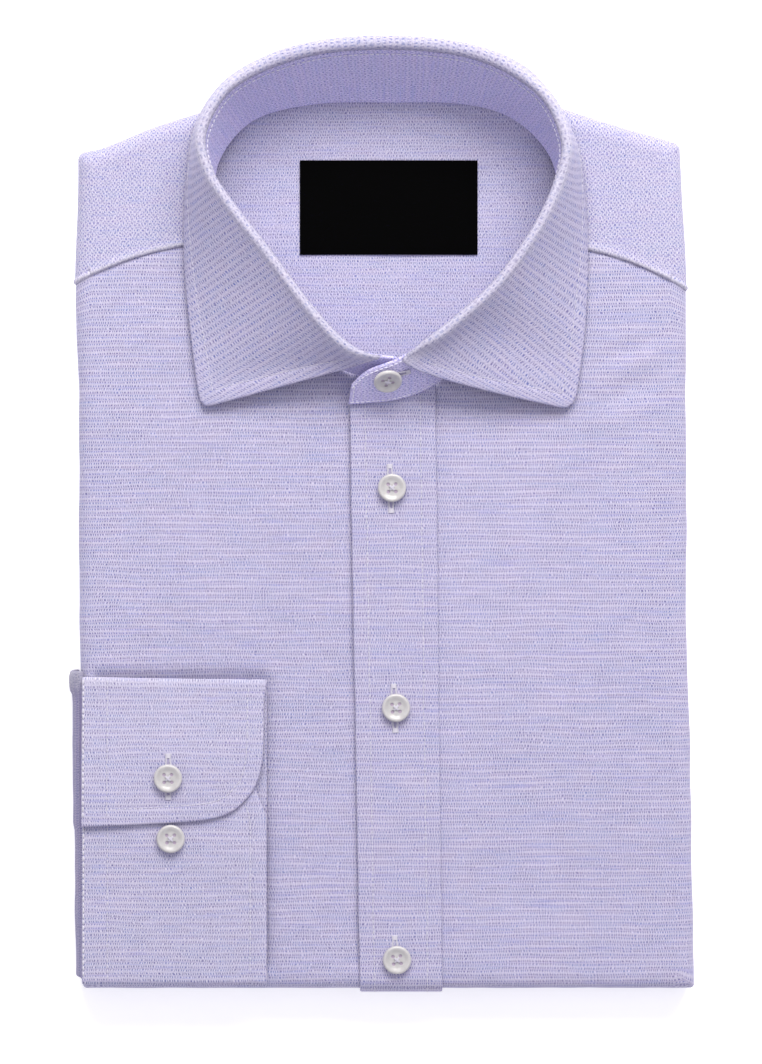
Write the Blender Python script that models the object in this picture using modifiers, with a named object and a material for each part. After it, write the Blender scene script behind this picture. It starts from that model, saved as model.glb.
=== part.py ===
# A long-sleeved canvas shirt, folded as for a shop shelf and lying on its back.
# X runs across the shirt, Y up to the collar, Z up from the surface that it lies on.
# The origin is on that surface, in the middle of the flat underside.
# Sizes are in millimetres, and METRE turns them into metres where a mesh is made.
# Left and right are as seen from above, except in the names of the pieces, which are the wearer's.

import math

import bmesh
import bpy
import numpy as np
from mathutils import Matrix, Vector

METRE = 0.001
LEFT, RIGHT = -1, 1

# Cloth
CLOTH = 1.2  # one layer of the body, with the seam allowances behind it
GAP = 0.3  # between two pieces that touch

# Folded stack
STACK = 20.0  # height of the fronts above the surface
NECK_STACK = 15.0  # height of the stack just behind the neck
BOTTOM = -183.1  # where the shirt is folded across
SIDE_FOLD_END = 9.8  # height at which the side and shoulder folds turn under
BOTTOM_FOLD_END = 1.4  # the same at the bottom fold, which reaches the surface
CORNER_BLEND = 25.0  # length of side fold over which it deepens to the bottom fold
FOLD_REACH = 6.6  # how far in from the edge a fold starts to round

# Outline of the stack: (y, x) for the two sides, (x, y) for the shoulders and the neck
LEFT_EDGE = [
    (-183.1, -119.6),
    (-140, -120.2),
    (-60, -120.9),
    (60, -121.4),
    (100, -122.6),
    (125, -121.6),
    (151, -121.2),
]
RIGHT_EDGE = [(-183.1, 122.4), (60, 122.5), (98, 122.3), (118, 121.4), (154, 119.6)]
TOP_EDGE = [
    (-121.2, 151.0),
    (-114, 154.2),
    (-105.5, 156.8),
    (-91, 162.0),
    (-73, 167.8),
    (-45, 176.5),
    (3, 181.0),
    (46, 177.0),
    (73, 169.4),
    (88, 164.6),
    (104, 159.8),
    (114, 157.0),
    (119.6, 154.0),
]

# Seams between yoke and fronts: where each meets the neck and the side, in x and y
YOKE_SEAM = {LEFT: ((-60.9, 116.0), (-122.4, 99.6)), RIGHT: ((65.4, 114.5), (121.6, 97.5))}
SEAM_STEPS = 5

# Neck seam, (x, y), from the middle of the front up the left side, round the back and down the right
NECK_SEAM = [
    (4, 51.5),
    (-16, 62.0),
    (-32, 78.0),
    (-50, 102.5),
    (-61, 116.5),
    (-66.6, 132),
    (-64.5, 149.5),
    (-50.5, 165.5),
    (-26, 171.8),
    (4, 172.4),
    (33, 171.8),
    (53, 165.8),
    (67.5, 151),
    (70.6, 134),
    (64, 111.5),
    (50, 89.0),
    (33, 69.5),
    (20, 58.3),
]
NECK_CENTRE = (3.0, 118.0)
UNDER_BAND = 1.8  # how far the body runs in under the collar band

# Placket, with its free edge on the left
PLACKET_TOP = (-12.6, 21.8)  # x of its two edges at the collar
PLACKET_FOOT = (-8.4, 24.6)  # and at the bottom fold
PLACKET_LIFT = CLOTH + GAP
FRONTS_MEET = 8.0  # x of the gap between the fronts, under the placket
PLACKET_SEAT = 22.4  # height of the collar band's lower edge where it stands on the placket

# Collar band: seam x and y, top x, y and z, from its buttoned end on top, round the neck, to the end below
BAND_CLOTH = 1.8
COLLAR_BAND = [
    (-13.0, 51.2, -11.8, 58.4, 30.2),
    (-6.0, 51.6, -5.4, 64.0, 35.2),
    (7.0, 53.2, 6.8, 68.7, 37.8),
    (20.0, 58.3, 17.2, 75.2, 39.5),
    (33.0, 69.5, 29.0, 84.2, 41.0),
    (50.0, 89.0, 45.6, 99.4, 43.0),
    (64.0, 111.5, 60.7, 120.7, 44.0),
    (70.6, 134.0, 69.7, 141.0, 44.0),
    (67.5, 151.0, 70.8, 155.8, 44.0),
    (53.0, 165.8, 61.0, 173.4, 43.0),
    (33.0, 171.8, 37.0, 186.6, 42.0),
    (4.0, 172.4, 4.0, 190.6, 42.0),
    (-26.0, 171.8, -29.5, 187.6, 42.0),
    (-50.5, 165.5, -57.4, 175.6, 43.0),
    (-64.5, 149.5, -69.0, 157.8, 44.0),
    (-66.6, 132.0, -67.0, 143.0, 44.0),
    (-61.0, 116.5, -58.2, 129.0, 44.0),
    (-50.0, 102.5, -45.2, 112.5, 43.5),
    (-32.0, 78.0, -25.2, 86.2, 41.5),
    (-16.0, 62.5, -10.2, 72.4, 38.5),
    (4.5, 57.4, 6.2, 69.2, 35.2),
]
BAND_ON_PLACKET = 3.0  # the rows up to this one stand on the placket
BAND_STATIONS = 48

# Collar leaf: row of COLLAR_BAND that it is sewn to, a point halfway down the fall, and the outer edge
LEAF_CLOTH = 1.6
LEAF_ROLL = [(0.0, 0.0), (0.0, 0.9), (0.45, 2.0), (1.4, 2.5), (2.35, 2.0), (2.8, 0.7)]  # outward, up
COLLAR_LEAF = [
    (2.3, (20.0, 62.0, 34.0), (75.6, 48.8, 22.3)),
    (3.0, (36.0, 68.5, 31.5), (78.0, 55.0, 22.3)),
    (4.0, (47.0, 77.0, 30.5), (79.4, 64.0, 22.3)),
    (5.0, (60.5, 91.0, 32.5), (81.3, 81.0, 22.2)),
    (6.0, (71.0, 113.0, 34.5), (82.2, 103.0, 22.0)),
    (7.0, (76.6, 134.0, 35.0), (81.6, 126.0, 22.0)),
    (8.0, (77.0, 152.0, 34.0), (79.4, 146.0, 21.8)),
    (8.5, (74.4, 166.3, 33.5), (77.4, 160.5, 21.4)),
    (9.0, (67.6, 176.2, 32.0), (71.0, 174.5, 15.0)),
    (9.5, (55.5, 184.6, 29.0), (58.0, 183.6, 8.0)),
    (10.0, (39.6, 190.4, 27.0), (41.0, 189.6, 5.0)),
    (11.0, (4.0, 194.0, 27.0), (4.0, 193.2, 4.0)),
    (12.0, (-31.8, 191.2, 27.0), (-33.0, 190.2, 5.0)),
    (12.5, (-48.4, 186.0, 29.0), (-50.5, 185.0, 8.0)),
    (13.0, (-62.2, 178.2, 32.0), (-65.5, 176.0, 14.0)),
    (13.5, (-70.4, 168.5, 33.5), (-73.6, 165.6, 20.6)),
    (14.0, (-73.8, 156.8, 33.5), (-75.8, 152.0, 21.7)),
    (15.0, (-74.2, 138.5, 34.0), (-77.8, 131.0, 22.0)),
    (16.0, (-69.0, 121.0, 33.5), (-78.2, 111.0, 22.2)),
    (17.0, (-60.5, 101.5, 32.0), (-76.8, 88.0, 22.3)),
    (18.0, (-47.0, 77.0, 29.5), (-74.4, 66.0, 22.3)),
    (19.0, (-36.0, 66.5, 27.5), (-73.0, 56.0, 22.3)),
    (19.55, (-19.5, 63.2, 30.5), (-71.4, 49.4, 22.3)),
]
LEAF_STATIONS = 40
LEAF_FALL_STEPS = 5

# Right cuff, a flattened tube whose upper layer is the buttoned overlap: y and z down its length
CUFF_CLOTH = 1.5
CUFF_REACH = (-119.4, -45.6)  # x at the sleeve and at the hem
CUFF_TOP, CUFF_FOOT = -57.8, -180.1  # y of its two folds
CUFF_FOLD = 1.125  # radius of the folds, at mid-cloth
CUFF_UNDERLAP = -88.0  # y of the hidden end under the overlap
CUFF_COLUMNS = 9  # of faces across the cuff
CUFF_STEP_UP = (-77.0, -86.0)  # y over which the overlap rises on to the underlap
# The overlap's free end, (x, y), with its corner at the hem rounded
CUFF_END = [
    (-119.4, -117.6),
    (-106.0, -117.1),
    (-92.0, -116.5),
    (-80.0, -115.8),
    (-72.2, -115.2),
    (-64.2, -113.6),
    (-58.2, -110.8),
    (-53.4, -106.2),
    (-50.2, -101.7),
    (-48.2, -96.2),
    (-47.1, -89.5),
    (-46.7, -81.0),
]

# Right sleeve, flattened, wrapped round the left side: (y, reach of its middle from the middle line)
SLEEVE_CLOTH = 1.0
SLEEVE_SPREAD = 0.8  # from the middle of the flattened sleeve to each layer
SLEEVE_REACH = [
    (-57.4, 124.3),
    (-63.5, 124.1),
    (-71, 122.9),
    (-115, 122.9),
    (-120, 122.3),
    (-160, 121.9),
    (-178.5, 121.6),
]
SLEEVE_PATH = [  # inward, z
    (1.0, 21.8),
    (0.25, 20.0),
    (0.0, 16.5),
    (0.0, 11.0),
    (0.0, 6.0),
    (0.4, 3.4),
    (1.5, 1.9),
]

# Inside of the neck
INNER_YOKE = 12.2  # height at mid-cloth
INNER_CROWN = 1.2  # how far it rises in the middle
POCKET_FLOOR = 11.3  # of the hollow that holds it
LABEL_BOX = (-32.6, 110.6, 38.8, 148.6)  # lowest and highest x and y
LABEL_CLOTH = 0.8

# Buttons, four-hole, 18 line: (radius, height) from the middle of the face to the middle of the back
BUTTON_PROFILE = [
    (0.0, 1.9),
    (3.2, 1.9),
    (4.1, 2.5),
    (4.9, 2.75),
    (5.5, 2.4),
    (5.7, 1.7),
    (5.2, 0.8),
    (3.6, 0.0),
    (0.0, 0.0),
]
BUTTON_SIDES = 20
BUTTON_HOLE = 0.75  # radius
BUTTON_HOLE_OUT = 1.55  # from the middle, in x and in y
PLACKET_BUTTONS = [(4.4, 17.6), (6.0, -70.2), (6.4, -170.8)]
CUFF_BUTTONS = [(-84.8, -98.1), (-83.8, -122.3)]
COLLAR_BUTTON = 1.65  # row of COLLAR_BAND
COLLAR_BUTTON_UP = 0.66  # how far up the band

# Rounding of a fold: share of FOLD_REACH in from the edge, share of the fold's depth below the top
FOLD = [
    (1.0, 0.0),
    (0.6, 0.05),
    (0.3, 0.18),
    (0.13, 0.38),
    (0.09, 0.6),
    (0.15, 0.8),
    (0.34, 0.95),
    (0.56, 1.0),
]

# Edge of the upper hidden layer: in from the edge, share of its height
UPPER_LAYER = [
    (8.2, 1.0),
    (5.4, 0.93),
    (3.4, 0.73),
    (2.9, 0.5),
    (3.6, 0.31),
    (5.4, 0.22),
    (7.0, 0.12),
]
# Edges of the layers below it, down to the surface: in from the edge, height
LOWER_LAYERS = [
    (6.8, 8.8),
    (3.4, 8.2),
    (1.9, 6.9),
    (2.0, 5.6),
    (3.6, 4.7),
    (2.2, 3.8),
    (2.0, 2.2),
    (2.8, 0.8),
    (4.6, 0.0),
]
BOTTOM_LAYERS_IN = 2.8  # further in behind the bottom fold

LILAC = (0.545, 0.510, 0.730, 1)
PALE_LILAC = (0.640, 0.610, 0.800, 1)
BLACK = (0.006, 0.006, 0.007, 1)
PEARL = (0.720, 0.710, 0.690, 1)


# Small helpers


def blend(a, b, t):
    return a + (b - a) * t


def smooth(t):
    t = min(max(t, 0.0), 1.0)
    return t * t * (3 - 2 * t)


def steps(first, last, count):
    return [blend(first, last, i / count) for i in range(count + 1)]


def read_table(rows, at):
    """The row at a fractional place in a table, on a Catmull-Rom curve through its rows."""
    at = min(max(at, 0.0), len(rows) - 1)
    i = min(int(at), len(rows) - 2)
    t = at - i
    places = [min(max(k, 0), len(rows) - 1) for k in range(i - 1, i + 3)]
    before, start, end, after = (np.array(rows[k], float) for k in places)
    return 0.5 * (
        2 * start
        + (end - before) * t
        + (2 * before - 5 * start + 4 * end - after) * t**2
        + (3 * start - before - 3 * end + after) * t**3
    )


def interpolate(rows, at):
    return float(np.interp(at, [row[0] for row in rows], [row[1] for row in rows]))


# Shape of the folded stack


def body_top(x, y):
    """Height of the upper face of the fronts and the yoke, which dips behind the neck."""
    behind = smooth((y - 135) / 35)
    near = 1 - smooth((abs(x - NECK_CENTRE[0]) - 45) / 35)
    return STACK - (STACK - NECK_STACK) * behind * near


def side_edge(side, y):
    return interpolate(LEFT_EDGE if side == LEFT else RIGHT_EDGE, y)


def top_edge(x):
    return interpolate(TOP_EDGE, x)


def fold_reach(x, y):
    """The fold rounds over a shorter way where the stack is thin."""
    return FOLD_REACH * blend(0.6, 1.0, (body_top(x, y) - NECK_STACK) / (STACK - NECK_STACK))


def yoke_seam(side, x):
    """y of the seam between yoke and front, an arc that steepens towards the side."""
    (neck_x, neck_y), (side_x, side_y) = YOKE_SEAM[side]
    t = (x - neck_x) / (side_x - neck_x)
    return neck_y + (side_y - neck_y) * max(t, 0.0) ** 2


def seam_xs(side):
    """x of the points that yoke and front share along their seam, from the neck to the side fold."""
    neck_x = YOKE_SEAM[side][0][0]
    fold_x = side_edge(side, YOKE_SEAM[side][1][1]) - side * FOLD_REACH
    return steps(neck_x, fold_x, SEAM_STEPS)


def neck_loop(count):
    """Points round the neck seam, evenly spaced in the table's rows."""
    rows = [NECK_SEAM[-1]] + NECK_SEAM + NECK_SEAM[:2]
    return [read_table(rows, 1 + len(NECK_SEAM) * k / count) for k in range(count)]


def neck_reach(angle):
    """Distance from NECK_CENTRE to the neck seam in a direction."""
    loop = neck_loop(72)
    ray = Vector((math.cos(angle), math.sin(angle)))
    centre = Vector(NECK_CENTRE)
    for start, end in zip(loop, loop[1:] + loop[:1]):
        a, b = Vector(start) - centre, Vector(end) - centre
        along = b - a
        cross = ray.x * along.y - ray.y * along.x
        if abs(cross) < 1e-9:
            continue
        distance = (a.x * along.y - a.y * along.x) / cross
        share = (a.x * ray.y - a.y * ray.x) / cross
        if distance > 0 and 0 <= share <= 1:
            return distance
    return 0.0


def neck_edge(at):
    """Edge of the body under the collar band, at a place in NECK_SEAM."""
    x, y = read_table(NECK_SEAM, at)
    inward = (Vector(NECK_CENTRE) - Vector((x, y))).normalized() * UNDER_BAND
    return x + inward.x, y + inward.y


def neck_edge_at_x(side, x):
    """y of the front's neck edge at x, on one side of the middle."""
    rows = (0.0, 4.0) if side == LEFT else (17.0, 14.0)
    places = [neck_edge(at) for at in steps(*rows, 24)]
    places.sort()
    return float(np.interp(x, [place[0] for place in places], [place[1] for place in places]))


def fold_profile(depth, reach, lift=0.0):
    """(in from the edge, below the top) for each point of a fold, lifted off its outer face."""
    points = [Vector((inward * reach, below * depth)) for inward, below in FOLD]
    lifted = []
    for i, point in enumerate(points):
        along = points[min(i + 1, len(points) - 1)] - points[max(i - 1, 0)]
        off_face = Vector((-along.y, along.x)).normalized() * lift
        lifted.append((point.x + off_face.x, point.y + off_face.y))
    return lifted


# Mesh building


def new_object(name, mesh, collection, colour, roughness):
    material = bpy.data.materials.new(name)
    material.use_nodes = True
    shader = material.node_tree.nodes["Principled BSDF"]
    shader.inputs["Base Color"].default_value = colour
    shader.inputs["Roughness"].default_value = roughness
    material.diffuse_color = colour
    mesh.materials.append(material)
    mesh.shade_smooth()
    made = bpy.data.objects.new(name, mesh)
    collection.objects.link(made)
    return made


def add_points(form, points):
    return [form.verts.new(Vector(point) * METRE) for point in points]


def join_rows(form, rows, closed=False):
    """Quads between each row of points and the next."""
    for lower, upper in zip(rows, rows[1:]):
        count = len(lower)
        for i in range(count if closed else count - 1):
            j = (i + 1) % count
            form.faces.new((lower[i], lower[j], upper[j], upper[i]))


def cloth_piece(name, form, thickness, collection, colour=LILAC):
    """A wall of cloth, half its thickness to each side of the surface."""
    bmesh.ops.recalc_face_normals(form, faces=form.faces)
    mesh = bpy.data.meshes.new(name)
    form.to_mesh(mesh)
    form.free()
    piece = new_object(name, mesh, collection, colour, 0.9)
    wall = piece.modifiers.new("Cloth", "SOLIDIFY")
    wall.thickness = thickness * METRE
    wall.offset = 0
    wall.use_quality_normals = True
    return piece


def fold_rows(form, path):
    """Rounds a panel over its edge.

    path holds, for each point along it: the panel's own point, the edge's x and y, the way out in x and y,
    the height at which the fold ends, and how far the point stands off the yoke seam, or None away from it.
    """
    rows = [[vertex for vertex, *_ in path]]
    for ring in range(1, len(FOLD)):
        row = []
        for _, x, y, out_x, out_y, end, off_seam in path:
            top = body_top(x, y) - CLOTH / 2
            inward, below = fold_profile(top - end, fold_reach(x, y))[ring]
            place_x, place_y = x - out_x * inward, y - out_y * inward
            if off_seam is not None:
                place_y = yoke_seam(out_x, place_x) + off_seam
            row.append((place_x, place_y, top - below))
        rows.append(add_points(form, row))
    join_rows(form, rows)


# The pieces


def front(name, side, collection):
    """One front: flat on top, folded under at its side and at the bottom."""
    placket_x = FRONTS_MEET + side * 1.0
    neck_x = YOKE_SEAM[side][0][0]
    inner = steps(placket_x, neck_x, 6)[:-1]
    outer = seam_xs(side)
    form = bmesh.new()
    columns = []
    for i, top_x in enumerate(inner + outer):
        if i < len(inner):
            top_y = neck_edge_at_x(side, top_x)
        else:
            top_y = yoke_seam(side, top_x) - GAP / 2
        share = (top_x - placket_x) / (outer[-1] - placket_x)
        column = []
        for y in steps(BOTTOM + FOLD_REACH, top_y, 8):
            edge_x = side_edge(side, y) - side * FOLD_REACH
            x = blend(placket_x, edge_x, share)
            x = blend(x, top_x, smooth((y - BOTTOM) / (top_y - BOTTOM)))
            column.append((x, y, body_top(x, y) - CLOTH / 2))
        columns.append(add_points(form, column))
    join_rows(form, columns)
    path = []
    for column in columns[:-1]:
        x = column[0].co.x / METRE
        path.append((column[0], x, BOTTOM, 0, -1, BOTTOM_FOLD_END, None))
    corner = columns[-1][0]
    path.append((corner, side_edge(side, BOTTOM), BOTTOM, side, -1, BOTTOM_FOLD_END, None))
    for vertex in columns[-1][1:]:
        y = vertex.co.y / METRE
        end = blend(BOTTOM_FOLD_END, SIDE_FOLD_END, smooth((y - BOTTOM) / CORNER_BLEND))
        at_seam = -GAP / 2 if vertex is columns[-1][-1] else None
        path.append((vertex, side_edge(side, y), y, side, 0, end, at_seam))
    fold_rows(form, path)
    return cloth_piece(name, form, CLOTH, collection)


def yoke_stations():
    """Lines across the yoke from one seam to the other.

    Each holds its x and y at the neck and at the edge, the way out there, and its share of the seam's arc.
    """
    stations = []
    left_y = yoke_seam(LEFT, seam_xs(LEFT)[-1])
    right_y = yoke_seam(RIGHT, seam_xs(RIGHT)[-1])
    corner_y = TOP_EDGE[0][1]
    for t in steps(0, 1, 4)[:-1]:
        y = blend(left_y, corner_y - FOLD_REACH, t)
        stations.append((*neck_edge(blend(4.0, 5.6, t)), side_edge(LEFT, y), y, LEFT, 0, (1 - t) ** 2))
    stations.append((*neck_edge(5.75), *TOP_EDGE[0], LEFT, 1, 0))
    left_x, right_x = TOP_EDGE[0][0] + FOLD_REACH, TOP_EDGE[-1][0] - FOLD_REACH
    for t in steps(0, 1, 16)[1:-1]:
        x = blend(left_x, right_x, t)
        stations.append((*neck_edge(blend(5.75, 12.2, t)), x, top_edge(x), 0, 1, 0))
    stations.append((*neck_edge(12.2), *TOP_EDGE[-1], RIGHT, 1, 0))
    corner_y = TOP_EDGE[-1][1]
    for t in steps(0, 1, 4)[1:]:
        y = blend(corner_y - FOLD_REACH, right_y, t)
        stations.append((*neck_edge(blend(12.35, 13.87, t)), side_edge(RIGHT, y), y, RIGHT, 0, t**2))
    return stations


def yoke(collection):
    """Both shoulders and the strip behind the neck, folded under at the shoulders."""
    form = bmesh.new()
    rows, path = [], []
    for neck_x, neck_y, x, y, out_x, out_y, arc in yoke_stations():
        reach = fold_reach(x, y)
        fold_x, fold_y = x - out_x * reach, y - out_y * reach
        side = LEFT if x < 0 else RIGHT
        row = []
        for t, seam_x in zip(steps(0, 1, SEAM_STEPS), seam_xs(side)):
            straight = Vector((blend(neck_x, fold_x, t), blend(neck_y, fold_y, t)))
            on_seam = Vector((seam_x, yoke_seam(side, seam_x) + GAP / 2))
            point = straight.lerp(on_seam, arc)
            row.append((point.x, point.y, body_top(point.x, point.y) - CLOTH / 2))
        rows.append(add_points(form, row))
        at_seam = GAP / 2 if arc == 1 else None
        path.append((rows[-1][-1], x, y, out_x, out_y, SIDE_FOLD_END, at_seam))
    join_rows(form, rows)
    fold_rows(form, path)
    return cloth_piece("yoke", form, CLOTH, collection, PALE_LILAC)


def placket(collection):
    """Strip on the left front, round the bottom fold with it."""
    form = bmesh.new()
    rows = []
    for t in steps(0, 1, 4):
        top_x, foot_x = blend(*PLACKET_TOP, t), blend(*PLACKET_FOOT, t)
        top_y = read_table(COLLAR_BAND, 3.05 * t)[1] + 0.7
        line = []
        for y in steps(top_y, BOTTOM + FOLD_REACH, 14):
            x = blend(foot_x, top_x, (y - BOTTOM) / (top_y - BOTTOM))
            line.append((x, y, body_top(x, y) - CLOTH / 2 + PLACKET_LIFT))
        top = STACK - CLOTH / 2
        for inward, below in fold_profile(top - BOTTOM_FOLD_END, FOLD_REACH, PLACKET_LIFT)[1:]:
            line.append((foot_x, BOTTOM + inward, top - below))
        rows.append(add_points(form, line))
    join_rows(form, rows)
    return cloth_piece("placket", form, CLOTH, collection)


def inner_yoke_height(x, y):
    away = math.hypot((x - NECK_CENTRE[0]) / 60, (y - NECK_CENTRE[1]) / 60)
    return INNER_YOKE + INNER_CROWN * (1 - smooth(away))


def behind_neck(angle):
    """0 at the front and sides of the neck, 1 at its back."""
    return smooth((math.sin(angle) - 0.45) / 0.3)


def inner_yoke(collection):
    """What the neck opening shows: the yoke's inner layer, which runs on under the fronts."""
    form = bmesh.new()
    middle = form.verts.new(Vector((*NECK_CENTRE, inner_yoke_height(*NECK_CENTRE))) * METRE)
    rings = []
    for share in (0.3, 0.65, 1.0):
        ring = []
        for k in range(36):
            angle = 2 * math.pi * k / 36
            reach = share * (neck_reach(angle) + blend(5.5, -2.9, behind_neck(angle)))
            x, y = NECK_CENTRE[0] + reach * math.cos(angle), NECK_CENTRE[1] + reach * math.sin(angle)
            ring.append((x, y, inner_yoke_height(x, y)))
        rings.append(add_points(form, ring))
    for a, b in zip(rings[0], rings[0][1:] + rings[0][:1]):
        form.faces.new((middle, a, b))
    join_rows(form, rings, closed=True)
    return cloth_piece("inner_yoke", form, CLOTH, collection)


def neck_label(collection):
    form = bmesh.new()
    lift = CLOTH / 2 + GAP + LABEL_CLOTH / 2
    rows = []
    for y in steps(LABEL_BOX[1], LABEL_BOX[3], 4):
        row = [(x, y, inner_yoke_height(x, y) + lift) for x in steps(LABEL_BOX[0], LABEL_BOX[2], 6)]
        rows.append(add_points(form, row))
    join_rows(form, rows)
    return cloth_piece("neck_label", form, LABEL_CLOTH, collection, BLACK)


def layers_outline():
    """Points round the folded stack, each with its way out in x and y."""
    outline = [(side_edge(LEFT, BOTTOM), BOTTOM, LEFT, -1)]
    for y in steps(BOTTOM, TOP_EDGE[0][1], 10)[1:-1]:
        outline.append((side_edge(LEFT, y), y, LEFT, 0))
    outline.append((*TOP_EDGE[0], LEFT, 1))
    for x in steps(TOP_EDGE[0][0], TOP_EDGE[-1][0], 14)[1:-1]:
        outline.append((x, top_edge(x), 0, 1))
    outline.append((*TOP_EDGE[-1], RIGHT, 1))
    for y in steps(TOP_EDGE[-1][1], BOTTOM, 10)[1:-1]:
        outline.append((side_edge(RIGHT, y), y, RIGHT, 0))
    outline.append((side_edge(RIGHT, BOTTOM), BOTTOM, RIGHT, -1))
    for x in steps(side_edge(RIGHT, BOTTOM), side_edge(LEFT, BOTTOM), 8)[1:-1]:
        outline.append((x, BOTTOM, 0, -1))
    return outline


def layers_top(x, y):
    """Height of the hidden layers, just under the fronts and the yoke."""
    return body_top(x, y) - CLOTH - 2 * GAP


def round_neck(x, y, share, front_out, back_out):
    """The place on a ring round the neck that faces (x, y), that far outside the neck seam."""
    angle = math.atan2(y - NECK_CENTRE[1], x - NECK_CENTRE[0])
    reach = share * (neck_reach(angle) + blend(front_out, back_out, behind_neck(angle)))
    return NECK_CENTRE[0] + reach * math.cos(angle), NECK_CENTRE[1] + reach * math.sin(angle)


def in_from_edge(station, inward):
    """The place that far in from the stack's edge, deeper behind the bottom fold."""
    x, y, out_x, out_y = station
    inset = inward * blend(0.9, 1.0, (body_top(x, y) - NECK_STACK) / (STACK - NECK_STACK))
    inset += BOTTOM_LAYERS_IN * (1 - smooth((y - BOTTOM) / CORNER_BLEND - 1.4))
    return x - out_x * inset, y - out_y * inset


def folded_layers(collection):
    """Back, tails and the other sleeve in one solid, flat below and layered at its edges.

    It is hollow under the neck, where the inner yoke lies.
    """
    outline = layers_outline()
    rings = []
    for share in (0.5, 1.0):
        ring = [round_neck(x, y, share, 7.0, -1.6) for x, y, _, _ in outline]
        rings.append([(x, y, POCKET_FLOOR) for x, y in ring])
    ring = [round_neck(x, y, 1.0, 8.5, 0.2) for x, y, _, _ in outline]
    rings.append([(x, y, layers_top(x, y)) for x, y in ring])
    lowest = LOWER_LAYERS[0][1]
    for inward, share in UPPER_LAYER:
        ring = []
        for station in outline:
            top = layers_top(station[0], station[1])
            ring.append((*in_from_edge(station, inward), blend(lowest, top, share)))
        rings.append(ring)
    for inward, height in LOWER_LAYERS:
        rings.append([(*in_from_edge(station, inward), height) for station in outline])
    form = bmesh.new()
    rows = [add_points(form, ring) for ring in rings]
    join_rows(form, rows, closed=True)
    form.faces.new(rows[0])
    form.faces.new(rows[-1][::-1])
    bmesh.ops.triangulate(form, faces=[face for face in form.faces if len(face.verts) > 4])
    bmesh.ops.recalc_face_normals(form, faces=form.faces)
    mesh = bpy.data.meshes.new("folded_layers")
    form.to_mesh(mesh)
    form.free()
    return new_object("folded_layers", mesh, collection, LILAC, 0.9)


# The collar


def band_height(x, y, at):
    """Height of the band's lower edge: on the placket at its top end, on the body elsewhere."""
    on_placket = 1 - smooth((at - BAND_ON_PLACKET) / 0.7)
    on_body = body_top(x, y) + 0.8
    return blend(on_body, PLACKET_SEAT, on_placket)


def band_point(at, up):
    """Point on the band's middle surface. up goes from 0 at the seam to 1 at the top."""
    seam_x, seam_y, top_x, top_y, top_z = read_table(COLLAR_BAND, at)
    low = Vector((seam_x, seam_y, band_height(seam_x, seam_y, at)))
    return low.lerp(Vector((top_x, top_y, top_z)), up)


def band_out(at):
    """Level direction away from the neck, at the band's top edge."""
    along = band_point(at + 0.05, 1) - band_point(at - 0.05, 1)
    return Vector((along.y, -along.x, 0)).normalized()


def collar_band(collection):
    form = bmesh.new()
    rows = []
    for at in steps(0, len(COLLAR_BAND) - 1, BAND_STATIONS):
        rows.append(add_points(form, [band_point(at, up) for up in steps(0, 1, 3)]))
    join_rows(form, rows)
    return cloth_piece("collar_band", form, BAND_CLOTH, collection)


def leaf_section(at):
    """Points down one section of the leaf, from its seam with the band to the outer edge."""
    flat = [(row[0], *row[1], *row[2]) for row in COLLAR_LEAF]
    row = read_table(flat, at)
    base = band_point(row[0], 1) + Vector((0, 0, BAND_CLOTH / 2 + GAP))
    out = band_out(row[0])
    points = [base + out * outward + Vector((0, 0, up)) for outward, up in LEAF_ROLL]
    start, middle, edge = points[-1], Vector(row[1:4]), Vector(row[4:7])
    for t in steps(0, 1, LEAF_FALL_STEPS)[1:]:
        # A curve through all three points, which reaches the middle at t = 0.5.
        points.append(start * (1 - t) * (1 - 2 * t) + middle * 4 * t * (1 - t) + edge * t * (2 * t - 1))
    return points


def collar_leaf(collection):
    form = bmesh.new()
    rows = [add_points(form, leaf_section(at)) for at in steps(0, len(COLLAR_LEAF) - 1, LEAF_STATIONS)]
    join_rows(form, rows)
    return cloth_piece("collar_leaf", form, LEAF_CLOTH, collection, PALE_LILAC)


# The right sleeve and its cuff


def cuff_levels():
    """Mid-cloth heights of the cuff's lowest layer, its upper one, and the overlap on the underlap."""
    lowest = STACK + GAP + CUFF_CLOTH / 2
    upper = lowest + 2 * CUFF_FOLD
    return lowest, upper, upper + CUFF_CLOTH + GAP


def cuff_fold(y, way, up):
    """(y, z) round half a turn of one of the cuff's folds, from the lowest layer up or down to it."""
    middle = cuff_levels()[0] + CUFF_FOLD
    line = []
    for turn in steps(0, 180, 4)[1:]:
        swing = math.radians(turn)
        out = CUFF_FOLD * (1 - math.sin(swing))
        line.append((y + way * out, middle - up * CUFF_FOLD * math.cos(swing)))
    return line


def right_cuff(collection):
    form = bmesh.new()
    lowest, upper, overlap = cuff_levels()
    foot, top = CUFF_FOOT + CUFF_FOLD, CUFF_TOP - CUFF_FOLD
    line = [(y, upper) for y in steps(CUFF_UNDERLAP, foot, 6)]
    line += cuff_fold(CUFF_FOOT, 1, -1)
    line += [(y, lowest) for y in steps(foot, top, 6)[1:]]
    line += cuff_fold(CUFF_TOP, -1, 1)
    across = [blend(CUFF_REACH[1], CUFF_REACH[0], share**2) for share in steps(1, 0, CUFF_COLUMNS)]
    rows = [add_points(form, [(x, y, z) for x in across]) for y, z in line]
    end = [read_table(CUFF_END, at) for at in steps(0, len(CUFF_END) - 1, CUFF_COLUMNS)]
    for t in steps(0, 1, 8)[1:]:
        row = []
        for straight_x, (end_x, end_y) in zip(across, end):
            x = blend(straight_x, end_x, min(t * 3, 1))
            y = blend(top, end_y, t)
            risen = smooth((y - CUFF_STEP_UP[0]) / (CUFF_STEP_UP[1] - CUFF_STEP_UP[0]))
            row.append((x, y, blend(upper, overlap, risen)))
        rows.append(add_points(form, row))
    join_rows(form, rows)
    return cloth_piece("right_cuff", form, CUFF_CLOTH, collection)


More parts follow.
